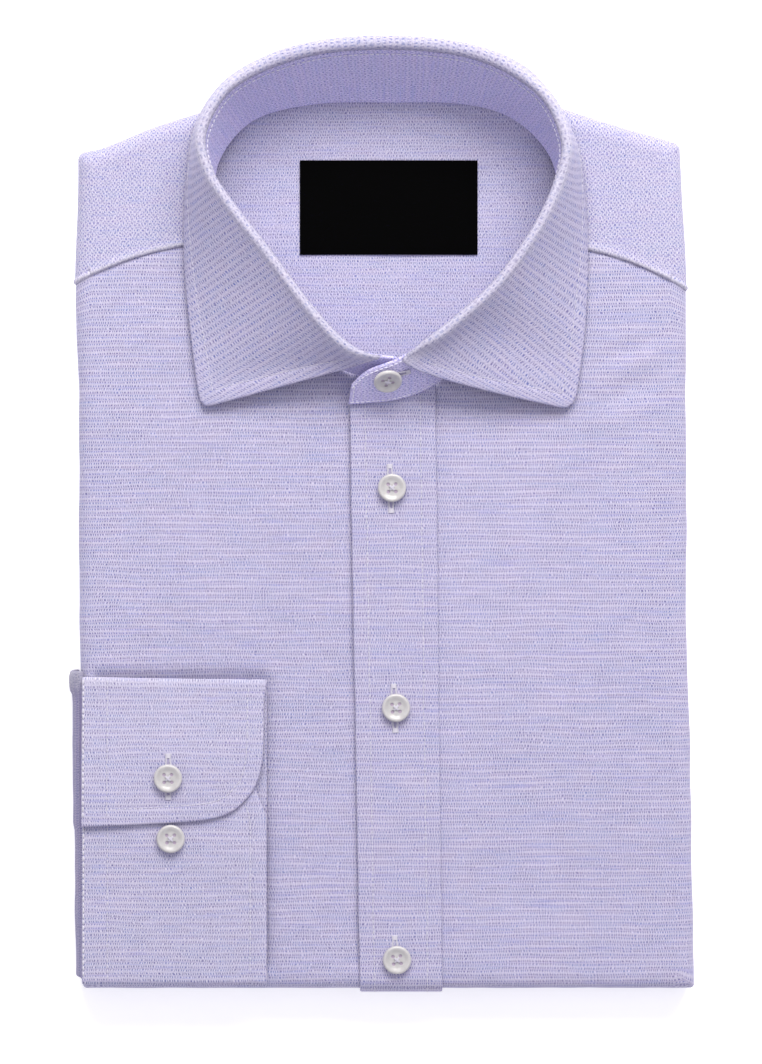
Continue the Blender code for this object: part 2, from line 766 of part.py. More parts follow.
def right_sleeve(collection):
    """Flattened sleeve: two layers that leave the cuff and go down round the side fold."""
    form = bmesh.new()
    start_z = cuff_levels()[0] + CUFF_FOLD
    rings = []
    for layer_side in (1, -1):
        lines = []
        for y, reach in SLEEVE_REACH[::layer_side]:
            path = [Vector((CUFF_REACH[0] - 4 * GAP, start_z))]
            path += [Vector((inward - reach, z)) for inward, z in SLEEVE_PATH]
            line = []
            for i, point in enumerate(path):
                along = path[min(i + 1, len(path) - 1)] - path[max(i - 1, 0)]
                out = Vector((along.y, -along.x)).normalized()
                place = point + out * SLEEVE_SPREAD * layer_side
                line.append((place.x, y, place.y))
            lines.append(line)
        rings += lines
    rows = [add_points(form, line) for line in rings]
    join_rows(form, rows + rows[:1])
    return cloth_piece("right_sleeve", form, SLEEVE_CLOTH, collection)


# Buttons


def button_mesh():
    form = bmesh.new()
    points = [form.verts.new((r * METRE, 0, z * METRE)) for r, z in BUTTON_PROFILE]
    for a, b in zip(points, points[1:]):
        form.edges.new((a, b))
    mesh = bpy.data.meshes.new("button")
    form.to_mesh(mesh)
    form.free()
    return mesh


def hole_mesh():
    """The four holes' cutters, joined."""
    form = bmesh.new()
    for x in (-BUTTON_HOLE_OUT, BUTTON_HOLE_OUT):
        for y in (-BUTTON_HOLE_OUT, BUTTON_HOLE_OUT):
            bmesh.ops.create_cone(
                form,
                cap_ends=True,
                segments=8,
                radius1=BUTTON_HOLE * METRE,
                radius2=BUTTON_HOLE * METRE,
                depth=8 * METRE,
                matrix=Matrix.Translation(Vector((x, y, 1)) * METRE),
            )
    mesh = bpy.data.meshes.new("button_holes")
    form.to_mesh(mesh)
    form.free()
    return mesh


def button(name, place, up, turn, collection, cutters):
    """A button sewn on with a short shank, its back GAP off the cloth at place."""
    made = new_object(name, button_mesh(), collection, PEARL, 0.25)
    screw = made.modifiers.new("Turned", "SCREW")
    screw.steps = screw.render_steps = BUTTON_SIDES
    screw.use_merge_vertices = True
    screw.merge_threshold = 0.00001
    holes = bpy.data.objects.new(name + "_holes", hole_mesh())
    holes.display_type = "WIRE"
    holes.hide_render = True
    cutters.objects.link(holes)
    cut = made.modifiers.new("Holes", "BOOLEAN")
    cut.operation = "DIFFERENCE"
    cut.solver = "EXACT"
    cut.object = holes
    spin = Vector((0, 0, 1)).rotation_difference(up).to_matrix().to_4x4() @ Matrix.Rotation(turn, 4, "Z")
    for thing in (made, holes):
        thing.matrix_world = Matrix.Translation((place + up * GAP) * METRE) @ spin
    return made


def buttons(collection, cutters):
    straight = Vector((0, 0, 1))
    before, after = (band_point(COLLAR_BUTTON + shift, COLLAR_BUTTON_UP) for shift in (-0.05, 0.05))
    along = after - before
    rise = band_point(COLLAR_BUTTON, 1) - band_point(COLLAR_BUTTON, 0)
    out = along.cross(rise).normalized()
    seat = band_point(COLLAR_BUTTON, COLLAR_BUTTON_UP) + out * BAND_CLOTH / 2
    button("collar_button", seat, out, 0.2, collection, cutters)
    placket_face = STACK + PLACKET_LIFT
    for i, (x, y) in enumerate(PLACKET_BUTTONS, 1):
        button(f"placket_button_{i}", Vector((x, y, placket_face)), straight, 0.0, collection, cutters)
    _, upper, overlap = cuff_levels()
    for i, ((x, y), level) in enumerate(zip(CUFF_BUTTONS, (overlap, upper)), 1):
        seat = Vector((x, y, level + CUFF_CLOTH / 2))
        button(f"cuff_button_{i}", seat, straight, 0.0, collection, cutters)


def build():
    for old in list(bpy.data.objects):
        bpy.data.objects.remove(old)
    shirt = bpy.data.collections.new("canvas_shirt")
    cutters = bpy.data.collections.new("cutters")
    for collection in (shirt, cutters):
        bpy.context.scene.collection.children.link(collection)
    folded_layers(shirt)
    front("right_front", LEFT, shirt)
    front("left_front", RIGHT, shirt)
    placket(shirt)
    yoke(shirt)
    inner_yoke(shirt)
    neck_label(shirt)
    collar_band(shirt)
    collar_leaf(shirt)
    right_sleeve(shirt)
    right_cuff(shirt)
    buttons(shirt, cutters)


build()
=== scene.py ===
# A long-sleeved shirt in slubbed canvas, folded as for a shop shelf: its looks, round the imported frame.
# Sizes are in millimetres in the frame's axes, and mm turns them into metres where a mesh is made.
import math

import bmesh
import bpy
import numpy as np
from mathutils import Matrix, Vector


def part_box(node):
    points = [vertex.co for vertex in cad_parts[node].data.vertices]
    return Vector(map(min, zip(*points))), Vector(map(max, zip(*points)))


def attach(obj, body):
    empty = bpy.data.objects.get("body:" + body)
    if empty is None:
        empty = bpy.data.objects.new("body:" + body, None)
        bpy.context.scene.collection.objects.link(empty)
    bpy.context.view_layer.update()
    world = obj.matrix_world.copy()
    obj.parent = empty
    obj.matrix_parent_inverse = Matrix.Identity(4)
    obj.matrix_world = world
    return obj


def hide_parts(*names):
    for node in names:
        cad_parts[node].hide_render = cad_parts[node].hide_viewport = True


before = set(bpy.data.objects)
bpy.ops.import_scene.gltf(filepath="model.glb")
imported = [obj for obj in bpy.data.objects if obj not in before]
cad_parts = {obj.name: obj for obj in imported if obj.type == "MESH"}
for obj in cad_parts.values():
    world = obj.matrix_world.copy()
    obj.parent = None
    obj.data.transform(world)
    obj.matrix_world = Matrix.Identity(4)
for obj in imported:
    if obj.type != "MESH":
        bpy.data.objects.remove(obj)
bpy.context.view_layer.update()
mm = 0.001
left, right = -1, 1
up = np.array([0.0, 0.0, 1.0])


# Numbers

def blend(a, b, t):
    return a + (b - a) * t


def smooth(t):
    t = np.clip(t, 0, 1)
    return t * t * (3 - 2 * t)


def curveThrough(rows, at):  # a Catmull-Rom curve through a table's rows, read at fractional row numbers
    rows = np.asarray(rows, float)
    at = np.clip(np.asarray(at, float), 0, len(rows) - 1)
    i = np.minimum(at.astype(int), len(rows) - 2)
    t = (at - i)[..., None]
    before, start, end, after = (rows[np.clip(i + k, 0, len(rows) - 1)] for k in (-1, 0, 1, 2))
    curve = 2 * start + (end - before) * t + (2 * before - 5 * start + 4 * end - after) * t**2
    return 0.5 * (curve + (3 * start - before - 3 * end + after) * t**3)


def fineTable(rows, count=240):  # the same curve, in even steps
    return curveThrough(rows, np.linspace(0, len(rows) - 1, count))


edgeSteps = (0.12, 0.35, 0.7, 1.1)  # how far in from a cut edge its first few lines of points are


def spaced(length, step, edges=edgeSteps):  # shares of a length, closer together at both ends
    middle = np.linspace(edges[-1], length - edges[-1], max(int(length / step), 3))
    return np.concatenate([[0], edges[:-1], middle, length - np.array(edges[-2::-1]), [length]]) / length


def unit(vectors):
    return vectors / np.maximum(np.linalg.norm(vectors, axis=-1, keepdims=True), 1e-12)


def readAlong(line, far, at):  # a line of points, with the distance of each along it, read at other distances
    return stacked(*(np.interp(at, far, column) for column in line.T))


def stacked(*values):  # coordinates, stretched to one shape and stacked last
    return np.stack(np.broadcast_arrays(*values), axis=-1)


def arcLength(points, axis):  # distance along each line of a grid of points
    step = np.linalg.norm(np.diff(points, axis=axis), axis=-1)
    start = np.zeros_like(np.take(step, [0], axis=axis))
    return np.concatenate([start, np.cumsum(step, axis=axis)], axis=axis)


def ripple(x, y, size, seed):  # gentle unevenness, a sum of crossing waves between -1 and 1
    total = 0
    for k in range(1, 5):
        way = seed * 1.7 + k * 2.4
        along = x * math.cos(way) + y * math.sin(way)
        total = total + np.sin(along * 2 * math.pi / (size * (0.6 + 0.23 * k)) + seed * k)
    return total / 4


# The folded body

stack = {
    "height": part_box("right_front")[1].z / mm,  # of the fronts above the surface
    "neckHeight": 15.0,  # of the stack just behind the neck
    "bottom": -183.1,  # y of the fold across
    "sideFoldEnd": 9.8,  # height at which the side folds turn under
    "bottomFoldEnd": 1.4,  # and the fold across
    "cornerBlend": 25.0,  # how far up from the fold across the one height becomes the other
    "foldReach": 6.6,  # how far in from the edge a fold starts to round
    "bottomReach": 3.6,  # the same for the fold across
    "cloth": 0.45,  # thickness of one layer
    "wallHalf": 0.6,  # half the frame's wall
    "leftEdge": [  # y, x
        (-183.1, -119.6), (-140, -120.2), (-60, -120.9), (60, -121.4), (100, -122.6), (125, -121.6),
        (151, -121.2),
    ],
    "rightEdge": [  # y, x
        (-183.1, 125.6), (-139, 125.0), (-103, 124.3), (-67, 123.4), (-36, 122.6), (60, 122.5), (98, 122.3),
        (118, 121.4), (154, 119.6),
    ],
    "topEdge": [  # x, y
        (-121.2, 151.0), (-114, 153.0), (-106, 155.8), (-91, 162.0), (-73, 167.8), (-45, 176.5), (3, 181.0),
        (46, 177.0), (73, 169.4), (88, 164.6), (104, 159.8), (114, 157.0), (119.6, 154.0),
    ],
    "shoulderRound": 3.2,  # radius of the corners
    "shoulderUp": 2.1,  # how far they stand above the end of the top edge, which slopes
    "hemRound": 1.6,  # radius of the bottom corners
    "fold": [  # share of foldReach in from the edge, share of the fold's depth below the top
        (1.0, 0.0), (0.6, 0.05), (0.3, 0.18), (0.13, 0.38), (0.09, 0.6), (0.15, 0.8), (0.34, 0.95),
        (0.56, 1.0),
    ],
}
neck = {
    "centre": (3.0, 118.0),
    "underBand": 1.8,  # how far the body runs in under the collar band
    "seam": [  # x, y from the middle of the front up the left side, round the back and down the right
        (4, 51.5), (-16, 62.0), (-32, 78.0), (-50, 102.5), (-61, 116.5), (-66.6, 132), (-64.5, 149.5),
        (-50.5, 165.5), (-26, 171.8), (4, 172.4), (33, 171.8), (53, 165.8), (67.5, 151), (70.6, 134),
        (64, 111.5), (50, 89.0), (33, 69.5), (20, 58.3),
    ],
}
yokeSeam = {  # x, y at the neck and at the side
    left: ((-60.9, 116.0), (-122.4, 99.6)),
    right: ((65.4, 114.5), (121.6, 97.5)),
}
creases = [  # start x, y, end x, y, width, height, bend: soft folds that run in from the left shoulder seam
    (86.0, 50.5, 117.0, 61.5, 4.2, -0.75, 1.5),
    (92.0, 62.5, 119.0, 73.5, 3.6, 0.60, 1.0),
    (84.0, 72.0, 108.0, 82.0, 3.0, 0.35, 0.6),
    (88.0, 67.5, 112.0, 77.5, 2.6, -0.32, 0.8),
    (88.0, 42.0, 117.0, 53.0, 4.6, 0.40, 1.2),
    (-116.0, 74.0, -88.0, 80.0, 4.0, 0.22, -1.0),
    (-117.0, 60.0, -80.0, 62.0, 5.0, -0.20, 0.8),
    (-70.0, -20.0, -112.0, -36.0, 6.5, 0.22, 1.5),
    (40.0, -80.0, 100.0, -64.0, 9.0, 0.20, -2.0),
    (52.0, -150.0, 104.0, -140.0, 8.0, -0.20, 1.5),
    (-40.0, -40.0, -28.0, 20.0, 7.0, 0.18, 1.0),
]
uneven = [  # height, size, seed: how far the pressed panels are from flat
    (0.16, 46, 1.3),
    (0.06, 17, 2.1),
]


def bodyTop(x, y):  # dips behind the neck
    behind = smooth((y - 135) / 35)
    near = 1 - smooth((np.abs(x - neck["centre"][0]) - 45) / 35)
    return stack["height"] - (stack["height"] - stack["neckHeight"]) * behind * near


def relief(x, y):  # creases and a gentle unevenness of the pressed panels
    height = sum(tall * ripple(x, y, size, seed) for tall, size, seed in uneven)
    for startX, startY, endX, endY, width, tall, bend in creases:
        alongX, alongY = endX - startX, endY - startY
        length = math.hypot(alongX, alongY)
        t = ((x - startX) * alongX + (y - startY) * alongY) / length**2
        off = ((y - startY) * alongX - (x - startX) * alongY) / length
        off = off - bend * np.sin(np.clip(t, 0, 1) * math.pi)
        fade = smooth((t + 0.12) / 0.4) * smooth((1.12 - t) / 0.4)
        height = height + tall * np.exp(-((off / width) ** 2)) * fade
    return height


press = {  # the cuff's mark in what it lies on: where each soft slope starts, and how far it runs
    "above": ((-53.2, 6.5), (-61.0, 10.0), (-42.5, 4.0)),  # down in y, up again in y, in x
    "beside": ((-42.4, 3.6), (-47.0, 8.0), (-55.0, 6.0)),  # down in x, up again in x, in y
    "under": ((-54.0, 6.0), (-43.5, 4.0)),  # in y, in x
    "depths": (1.5, 0.8),  # along its edges, and all under it
}


def pressed(x, y):  # how deep the cuff presses what it lies on, deepest along its edges
    def slope(at, start, run):
        return smooth((start - at) / run)

    def trough(at, beside, down, rise, end):
        return slope(at, *down) * (1 - slope(at, *rise)) * slope(beside, *end)

    atEdges = np.maximum(trough(y, x, *press["above"]), trough(x, y, *press["beside"]))
    under = slope(y, *press["under"][0]) * slope(x, *press["under"][1])
    deep, shallow = press["depths"]
    return (shallow * under + deep * atEdges) * smooth((y - stack["bottom"] - 5) / 6)


def sideEdge(side, y):
    table = np.array(stack["leftEdge" if side == left else "rightEdge"])
    waver = 0.16 * np.sin(y / 15.0 + side) + 0.10 * np.sin(y / 6.1 + 2 * side)
    return np.interp(y, table[:, 0], table[:, 1]) + waver


def topEdge(x):
    table = fineTable(stack["topEdge"])
    return np.interp(x, table[:, 0], table[:, 1])


def foldReach(x, y):
    thin = (stack["height"] - bodyTop(x, y)) / (stack["height"] - stack["neckHeight"])
    low = 1 - smooth((y - stack["bottom"]) / 20)
    return blend(stack["foldReach"] * (1 - 0.4 * thin), stack["bottomReach"], low)


def yokeSeamY(side, x):
    (neckX, neckY), (sideX, sideY) = yokeSeam[side]
    return neckY + (sideY - neckY) * np.maximum((x - neckX) / (sideX - neckX), 0) ** 2


def yokeSeamEnd(side):  # x at which the seam reaches the side fold
    return sideEdge(side, yokeSeam[side][1][1]) - side * stack["foldReach"]


def neckEdge(at):
    place = curveThrough(neck["seam"], at)
    return place + unit(np.array(neck["centre"]) - place) * neck["underBand"]


def neckReach(angle):  # distance from the neck's centre to its seam
    rows = [neck["seam"][-1], *neck["seam"], *neck["seam"][:2]]
    loop = curveThrough(rows, np.linspace(1, len(neck["seam"]) + 1, 400)) - np.array(neck["centre"])
    around = np.arctan2(loop[:, 1], loop[:, 0])
    order = np.argsort(around)
    return np.interp(angle, around[order], np.linalg.norm(loop, axis=1)[order], period=2 * math.pi)


def behindNeck(angle):  # 0 at the front and sides of the neck, 1 at its back
    return smooth((np.sin(angle) - 0.45) / 0.3)


# Cloth meshes

def placed(name, data):
    made = bpy.data.objects.new(name, data)
    bpy.context.scene.collection.objects.link(made)
    return made


class Piece:  # points on a piece of cloth, their places on the flat cloth, and the faces between them
    def __init__(self):
        self.points, self.flat, self.faces, self.count = [], [], [], 0

    def add(self, points, flat):  # a grid of points; returns a grid of their numbers
        shape = points.shape[:-1]
        self.points.append(points.reshape(-1, 3))
        self.flat.append(flat.reshape(-1, 2))
        numbers = np.arange(self.count, self.count + int(np.prod(shape))).reshape(shape)
        self.count += numbers.size
        return numbers

    def join(self, numbers, flip=False):
        a, b, c, d = numbers[:-1, :-1], numbers[:-1, 1:], numbers[1:, 1:], numbers[1:, :-1]
        quads = np.stack([a, d, c, b] if flip else [a, b, c, d], axis=-1).reshape(-1, 4)
        for quad in quads.tolist():
            corners = list(dict.fromkeys(quad))
            if len(corners) > 2:
                self.faces.append(corners)

    def make(self, name, material, seed, slot="shirting", replaces=None, clean=False, opened=None):
        mesh = bpy.data.meshes.new(name)
        mesh.from_pydata((np.vstack(self.points) * mm).tolist(), [], self.faces)
        flat = np.vstack(self.flat)
        place = mesh.attributes.new("cloth", "FLOAT_VECTOR", "POINT")
        place.data.foreach_set("vector", stacked(*flat.T, seed * 7.3).ravel())
        # A share per point of painted highlight, where the cloth turns over an edge.
        if opened is not None:
            turned = mesh.attributes.new("opened", "FLOAT", "POINT")
            turned.data.foreach_set("value", np.clip(opened, 0, 1).ravel())
        if clean:
            form = bmesh.new()
            form.from_mesh(mesh)
            bmesh.ops.recalc_face_normals(form, faces=form.faces)
            form.to_mesh(mesh)
            form.free()
        mesh.shade_smooth()
        made = placed(name, mesh)
        mesh.materials.append(material)
        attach(made, "root")
        if replaces:
            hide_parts(replaces)
        return made


def distanceToLine(points, line):  # of each point, to the nearest place on a line, both level
    nearest = np.full(points.shape[:-1], np.inf)
    for a, b in zip(line[:-1], line[1:]):
        ab = b - a
        t = np.clip(np.sum((points - a) * ab, axis=-1) / max(np.dot(ab, ab), 1e-9), 0, 1)
        nearest = np.minimum(nearest, np.linalg.norm(points - a - t[..., None] * ab, axis=-1))
    return nearest


def closedShell(middle, flat, thickness, rounding=None, edge=None):
    # A cloth of two layers: faces above and below its middle surface, which meet in rounded edges.
    alongRows, alongCols = np.gradient(middle, axis=0), np.gradient(middle, axis=1)
    normal = unit(np.cross(alongCols, alongRows))
    rowLength, colLength = arcLength(middle, 0), arcLength(middle, 1)
    if edge is None:
        edge = np.minimum(colLength, colLength[:, -1:] - colLength)
        edge = np.minimum(edge, np.minimum(rowLength, rowLength[-1:] - rowLength))
    rounding = rounding or thickness * 0.6
    half = thickness / 2 * np.sqrt(np.maximum(1 - (1 - np.minimum(edge / rounding, 1)) ** 2, 0))
    outer, inner = middle + normal * half[..., None], middle - normal * half[..., None]
    piece = Piece()
    top = piece.add(outer, flat)
    below = piece.add(inner, flat)
    for rows, cols in ((slice(None), [0, -1]), ([0, -1], slice(None))):
        below[rows, cols] = top[rows, cols]
    piece.join(top)
    piece.join(below, flip=True)
    return piece, {"above": outer, "below": inner, "normal": normal, "rows": rowLength, "cols": colLength}


def groove(away, at, depth=0.16, width=0.6):  # a row of stitches draws the cloth in, that far from its edge
    return depth * np.exp(-(((away - at) / width) ** 2))


def makeCloth(piece, name, node, material, seed, restsOn, held="folded", panel=False, sides=2, cut=None,
              **settings):
    # A sheet in the CAD node's place. A panel comes as its outer face only, and gets its wall here.
    made = piece.make(name, material, seed, replaces=node, **settings)
    if panel:
        wall = made.modifiers.new("Cloth", "SOLIDIFY")
        wall.thickness, wall.offset = stack["cloth"] * mm, -1
        wall.use_quality_normals = True
    # The cut of what shows: the flat cloth's reach both ways, and its area from the faces on one side of it.
    flat = np.vstack(piece.flat)
    wide, long = cut or (np.ptp(flat[:, 0]) * mm, np.ptp(flat[:, 1]) * mm)
    shown = made.evaluated_get(bpy.context.evaluated_depsgraph_get())
    area = sum(face.area for face in shown.to_mesh().polygons) / sides
    shown.to_mesh_clear()
    area = min(max(area, 0.31 * wide * long), wide * long)  # a sheet's area is at least 0.3 of its reach
    print(f"{name}: flat {wide * 1000:.0f} x {long * 1000:.0f} mm, {area * 1e4:.0f} cm2")


# Materials

exposure = 0.73  # the light is a little over white, so things are made that much darker than they look


def fromHex(code, level=exposure):  # an sRGB colour, turned linear
    values = [int(code[k : k + 2], 16) / 255 for k in (1, 3, 5)]
    linear = [v / 12.92 if v <= 0.04045 else ((v + 0.055) / 1.055) ** 2.4 for v in values]
    return (*(v * level for v in linear), 1.0)


def add(tree, kind, links=(), out=0, **settings):  # one node, its settings, and what goes into its sockets
    made = tree.nodes.new("ShaderNode" + kind)
    for name, value in settings.items():
        setattr(made, name, value)
    for socket, value in links.items() if isinstance(links, dict) else enumerate(links):
        if isinstance(value, bpy.types.NodeSocket):
            tree.links.new(value, made.inputs[socket])
        else:
            made.inputs[socket].default_value = fromHex(value) if isinstance(value, str) else value
    return made.outputs[out]


def newMaterial(name, values):
    material = bpy.data.materials.new(name)
    material.use_nodes = True
    shader = material.node_tree.nodes["Principled BSDF"]
    for socket, value in values.items():
        shader.inputs[socket].default_value = value
    return material, material.node_tree, shader


canvas = {
    "ribPitch": 2.53,
    "fields": {  # soft unevenness over the cloth: how long, how wide, its detail, and which output is read
        "wander": (45, 18, 2.0, 0),  # of the rows
        "shiver": (5.5, 2.4, 2.0, 0),  # of the threads in them
        "patch": (6, 2.2, 2.0, 0),  # of the dashes' strength
        "shake": (2.6, 2.6, 3.0, 1),  # of the dots' places
        "blue": (15, 0.8, 0.0, 0),  # of the blue yarn
    },
    "pushed": {"wander": 2.6, "shiver": 0.5},  # how far each moves the rows
    "row": (0.14, 0.39),  # in rows from a row's middle: where its dashes start to fade, and where they end
    "rib": (0.08, 0.37),  # the same for a rib, in groups of rows
    "ribShare": 0.64,  # of its colour, where its yarn is thickest
    "yarn": 16,  # over how long a rib's yarn grows thick and thin, and from which noise to which
    "yarnRange": (0.08, 0.62),
    "jitter": (3.4, 2.6),  # of dashes along their row: how long, how far
    "lean": 0.9,  # of each row's dashes, one way or the other
    "dashRange": (-0.25, 0.45),  # of the wave along a row, over which its dashes come in
    "patchRange": (0.3, 0.55, 0.65, 1.0),  # from which noise to which, and the dashes' strength at each
    "shaken": 2.5,  # how far the dots are moved
    "dotRange": (0.05, 0.55),
    "blueRange": (0.64, 0.76, 0.0, 0.35),
    "bluerRange": (0.4, 0.62),  # over which dashes turn from lilac to blue
    "grain": (2.0, 0.56, 0.68),  # its scale, share and base in the brightness
    "cloud": (0.035, 0.08),  # its scale and share
    "hue": (0.05, 0.475),  # its change with the yarn, and its base; 0.5 leaves a colour as it is
    "relief": (0.8, -0.7, 0.45, 0.16),  # of ribs, of dots, how strong, how deep in mm
    "dash": "#7B72B2",
    "blueDash": "#6A76C0",
    "ribColour": "#DEDAF3",
    "slub": "#A9AAE6",
    # the colour of the painted highlight on turned edges (the white weft showing there is part of it)
    "turned": "#F4F1FC",
    "shader": {"Roughness": 0.9, "Specular IOR Level": 0.25, "Sheen Weight": 0.1, "Sheen Roughness": 0.5},
}


def wovenCanvas(name, ribs, dots, ground="#C7C1E3", light="#DBD6F1", dash=canvas["dash"],
                shade=1.0, rows=2, pitch=0.97, dotPitch=(1.7, 1.8)):
    # Slubbed cotton canvas, woven with thick and thin white weft over a lilac warp: the eye sees pale ribs,
    # a little wavy, with short lilac dashes between them. Where dots is high it sees the warp's small dots.
    # Real dashes and dots are 0.5 mm or less, too fine to show in the render, so they are drawn coarser.
    material, tree, shader = newMaterial(name, canvas["shader"])
    place = add(tree, "Attribute", out=1, attribute_name="cloth")
    across, along = (add(tree, "SeparateXYZ", (place,), out=axis) for axis in (0, 1))
    field = {}
    for key, (long, wide, detail, out) in canvas["fields"].items():
        scaled = add(tree, "VectorMath", (place, (1 / long, 1 / wide, 1)), operation="MULTIPLY")
        field[key] = add(tree, "TexNoise", {"Vector": scaled, "Scale": 1.0, "Detail": detail}, out)
    wavy = along
    for key, far in canvas["pushed"].items():
        wavy = add(tree, "Math", (field[key], far, wavy), operation="MULTIPLY_ADD")
    phase = add(tree, "Math", (wavy, canvas["ribPitch"] / rows), operation="DIVIDE")
    row = add(tree, "Math", (phase,), operation="FLOOR")
    within = add(tree, "Math", (phase,), operation="FRACT")
    away = add(tree, "Math", (within, 0.5), operation="SUBTRACT")
    away = add(tree, "Math", (away,), operation="ABSOLUTE")
    inRow = add(tree, "MapRange", (away, *canvas["row"], 1.0, 0.0), interpolation_type="SMOOTHSTEP")

    # A rib between one group of rows and the next, as strong as its yarn is thick, which changes along it.
    group = add(tree, "Math", (phase, 1 / rows), operation="MULTIPLY")
    number = add(tree, "Math", (group,), operation="ROUND")
    off = add(tree, "Math", (group, number), operation="SUBTRACT")
    off = add(tree, "Math", (off,), operation="ABSOLUTE")
    onRib = add(tree, "MapRange", (off, *canvas["rib"], 1.0, 0.0), interpolation_type="SMOOTHSTEP")
    onYarn = add(tree, "Math", (across, 1 / canvas["yarn"]), operation="MULTIPLY")
    onYarn = add(tree, "CombineXYZ", (onYarn, number, 3.7))
    yarn = add(tree, "TexNoise", {"Vector": onYarn, "Scale": 1.0, "Detail": 3.0})
    thick = add(tree, "MapRange", (yarn, *canvas["yarnRange"], 0.0, 1.0))
    pale = add(tree, "Math", (thick, onRib), operation="MULTIPLY")
    pale = add(tree, "Math", (pale, ribs * canvas["ribShare"]), operation="MULTIPLY")

    # The dashes, each row set off from the last by chance.
    chance = add(tree, "TexWhiteNoise", {"W": row}, noise_dimensions="1D")
    shifted = add(tree, "Math", (chance, pitch, across), operation="MULTIPLY_ADD")
    long, far = canvas["jitter"]
    onRow = add(tree, "Math", (across, 1 / long), operation="MULTIPLY")
    onRow = add(tree, "CombineXYZ", (onRow, row, 9.1))
    jitter = add(tree, "TexNoise", {"Vector": onRow, "Scale": 1.0, "Detail": 1.0})
    shifted = add(tree, "Math", (jitter, far, shifted), operation="MULTIPLY_ADD")
    lean = add(tree, "Math", (chance, 0.5), operation="SUBTRACT")
    lean = add(tree, "Math", (lean, within), operation="MULTIPLY")
    shifted = add(tree, "Math", (lean, canvas["lean"], shifted), operation="MULTIPLY_ADD")
    wave = add(tree, "Math", (shifted, 2 * math.pi / pitch), operation="MULTIPLY")
    wave = add(tree, "Math", (wave,), operation="SINE")
    tick = add(tree, "MapRange", (wave, *canvas["dashRange"], 0.0, 1.0), interpolation_type="SMOOTHSTEP")
    patch = add(tree, "MapRange", (field["patch"], *canvas["patchRange"]))
    inDashes = add(tree, "Math", (inRow, patch), operation="MULTIPLY")

    # The dots, in lines that cross on the bias, shaken out of place.
    far = canvas["shaken"]
    shake = add(tree, "VectorMath", (field["shake"], (far, far, 0), place), operation="MULTIPLY_ADD")
    waves = []
    for axis, apart in enumerate(dotPitch):
        shaken = add(tree, "SeparateXYZ", (shake,), out=axis)
        shaken = add(tree, "Math", (shaken, 2 * math.pi / apart), operation="MULTIPLY")
        waves.append(add(tree, "Math", (shaken,), operation="SINE"))
    dot = add(tree, "Math", waves, operation="MULTIPLY")
    dot = add(tree, "MapRange", (dot, *canvas["dotRange"], 0.0, 1.0), interpolation_type="SMOOTHSTEP")

    # Between the dashes and between the dots it is paler than the ground, so each row's mean is the ground.
    # A blue yarn runs here and there. Where the cloth turns over an edge it is painted lighter, a painted
    # highlight; the white weft showing at the fold is part of it.
    blue = add(tree, "MapRange", (field["blue"], *canvas["blueRange"]))
    grainScale, grainShare, base = canvas["grain"]
    cloudScale, cloudShare = canvas["cloud"]
    grain = add(tree, "TexNoise", {"Vector": place, "Scale": grainScale, "Detail": 2.0})
    cloud = add(tree, "TexNoise", {"Vector": place, "Scale": cloudScale, "Detail": 3.0})
    opened = add(tree, "Attribute", out=2, attribute_name="opened")
    opened = add(tree, "Math", (opened, grain), operation="MULTIPLY")
    bluer = add(tree, "MapRange", (field["shiver"], *canvas["bluerRange"], 0.0, 1.0))
    inked = add(tree, "Mix", {0: bluer, 6: dash, 7: canvas["blueDash"]}, out=2, data_type="RGBA")
    dashed = add(tree, "Mix", {0: tick, 6: light, 7: inked}, out=2, data_type="RGBA")
    dotted = add(tree, "Mix", {0: dot, 6: light, 7: inked}, out=2, data_type="RGBA")
    layersOver = [(inDashes, dashed), (dots, dotted), (pale, canvas["ribColour"])]
    colour = ground
    for share, over in (*layersOver, (blue, canvas["slub"]), (opened, canvas["turned"])):
        colour = add(tree, "Mix", {0: share, 6: colour, 7: over}, out=2, data_type="RGBA")
    # shade makes a whole copy lighter or darker: painted light and shade, for pieces that stand in more or
    # less light.
    value = add(tree, "Math", (grain, grainShare * shade, base * shade), operation="MULTIPLY_ADD")
    value = add(tree, "Math", (cloud, cloudShare * shade, value), operation="MULTIPLY_ADD")
    hue = add(tree, "Math", (yarn, *canvas["hue"]), operation="MULTIPLY_ADD")
    colour = add(tree, "HueSaturation", {"Color": colour, "Hue": hue, "Value": value})
    pits = add(tree, "Math", (dot, dots), operation="MULTIPLY")
    ofRibs, ofDots, strong, deep = canvas["relief"]
    height = add(tree, "Math", (pale, ofRibs, grain), operation="MULTIPLY_ADD")
    height = add(tree, "Math", (pits, ofDots, height), operation="MULTIPLY_ADD")
    bump = add(tree, "Bump", {"Height": height, "Strength": strong, "Distance": deep * mm})
    tree.links.new(colour, shader.inputs["Base Color"])
    tree.links.new(bump, shader.inputs["Normal"])
    return material


def sewingThread(name, level=exposure):
    # Spun polyester in two plies: a dull pale line, lighter and darker along its twist.
    material, tree, shader = newMaterial(name, {"Roughness": 0.7, "Sheen Weight": 0.1})
    place = add(tree, "TexCoord", out=3)
    twist = add(tree, "TexWave", {"Vector": place, "Scale": 900.0, "Distortion": 1.0}, out=1)
    low, high = fromHex("#DAD6EC", level), fromHex("#F6F4FD", level)
    colour = add(tree, "Mix", {0: twist, 6: low, 7: high}, out=2, data_type="RGBA")
    tree.links.new(colour, shader.inputs["Base Color"])
    return material


def clouded(name, low, high, cloud, values):  # a colour that wanders between two
    material, tree, shader = newMaterial(name, values)
    place = add(tree, "TexCoord", out=3)
    cloud = add(tree, "TexNoise", {"Vector": place, **cloud})
    colour = add(tree, "Mix", {0: cloud, 6: low, 7: high}, out=2, data_type="RGBA")
    tree.links.new(colour, shader.inputs["Base Color"])
    return material


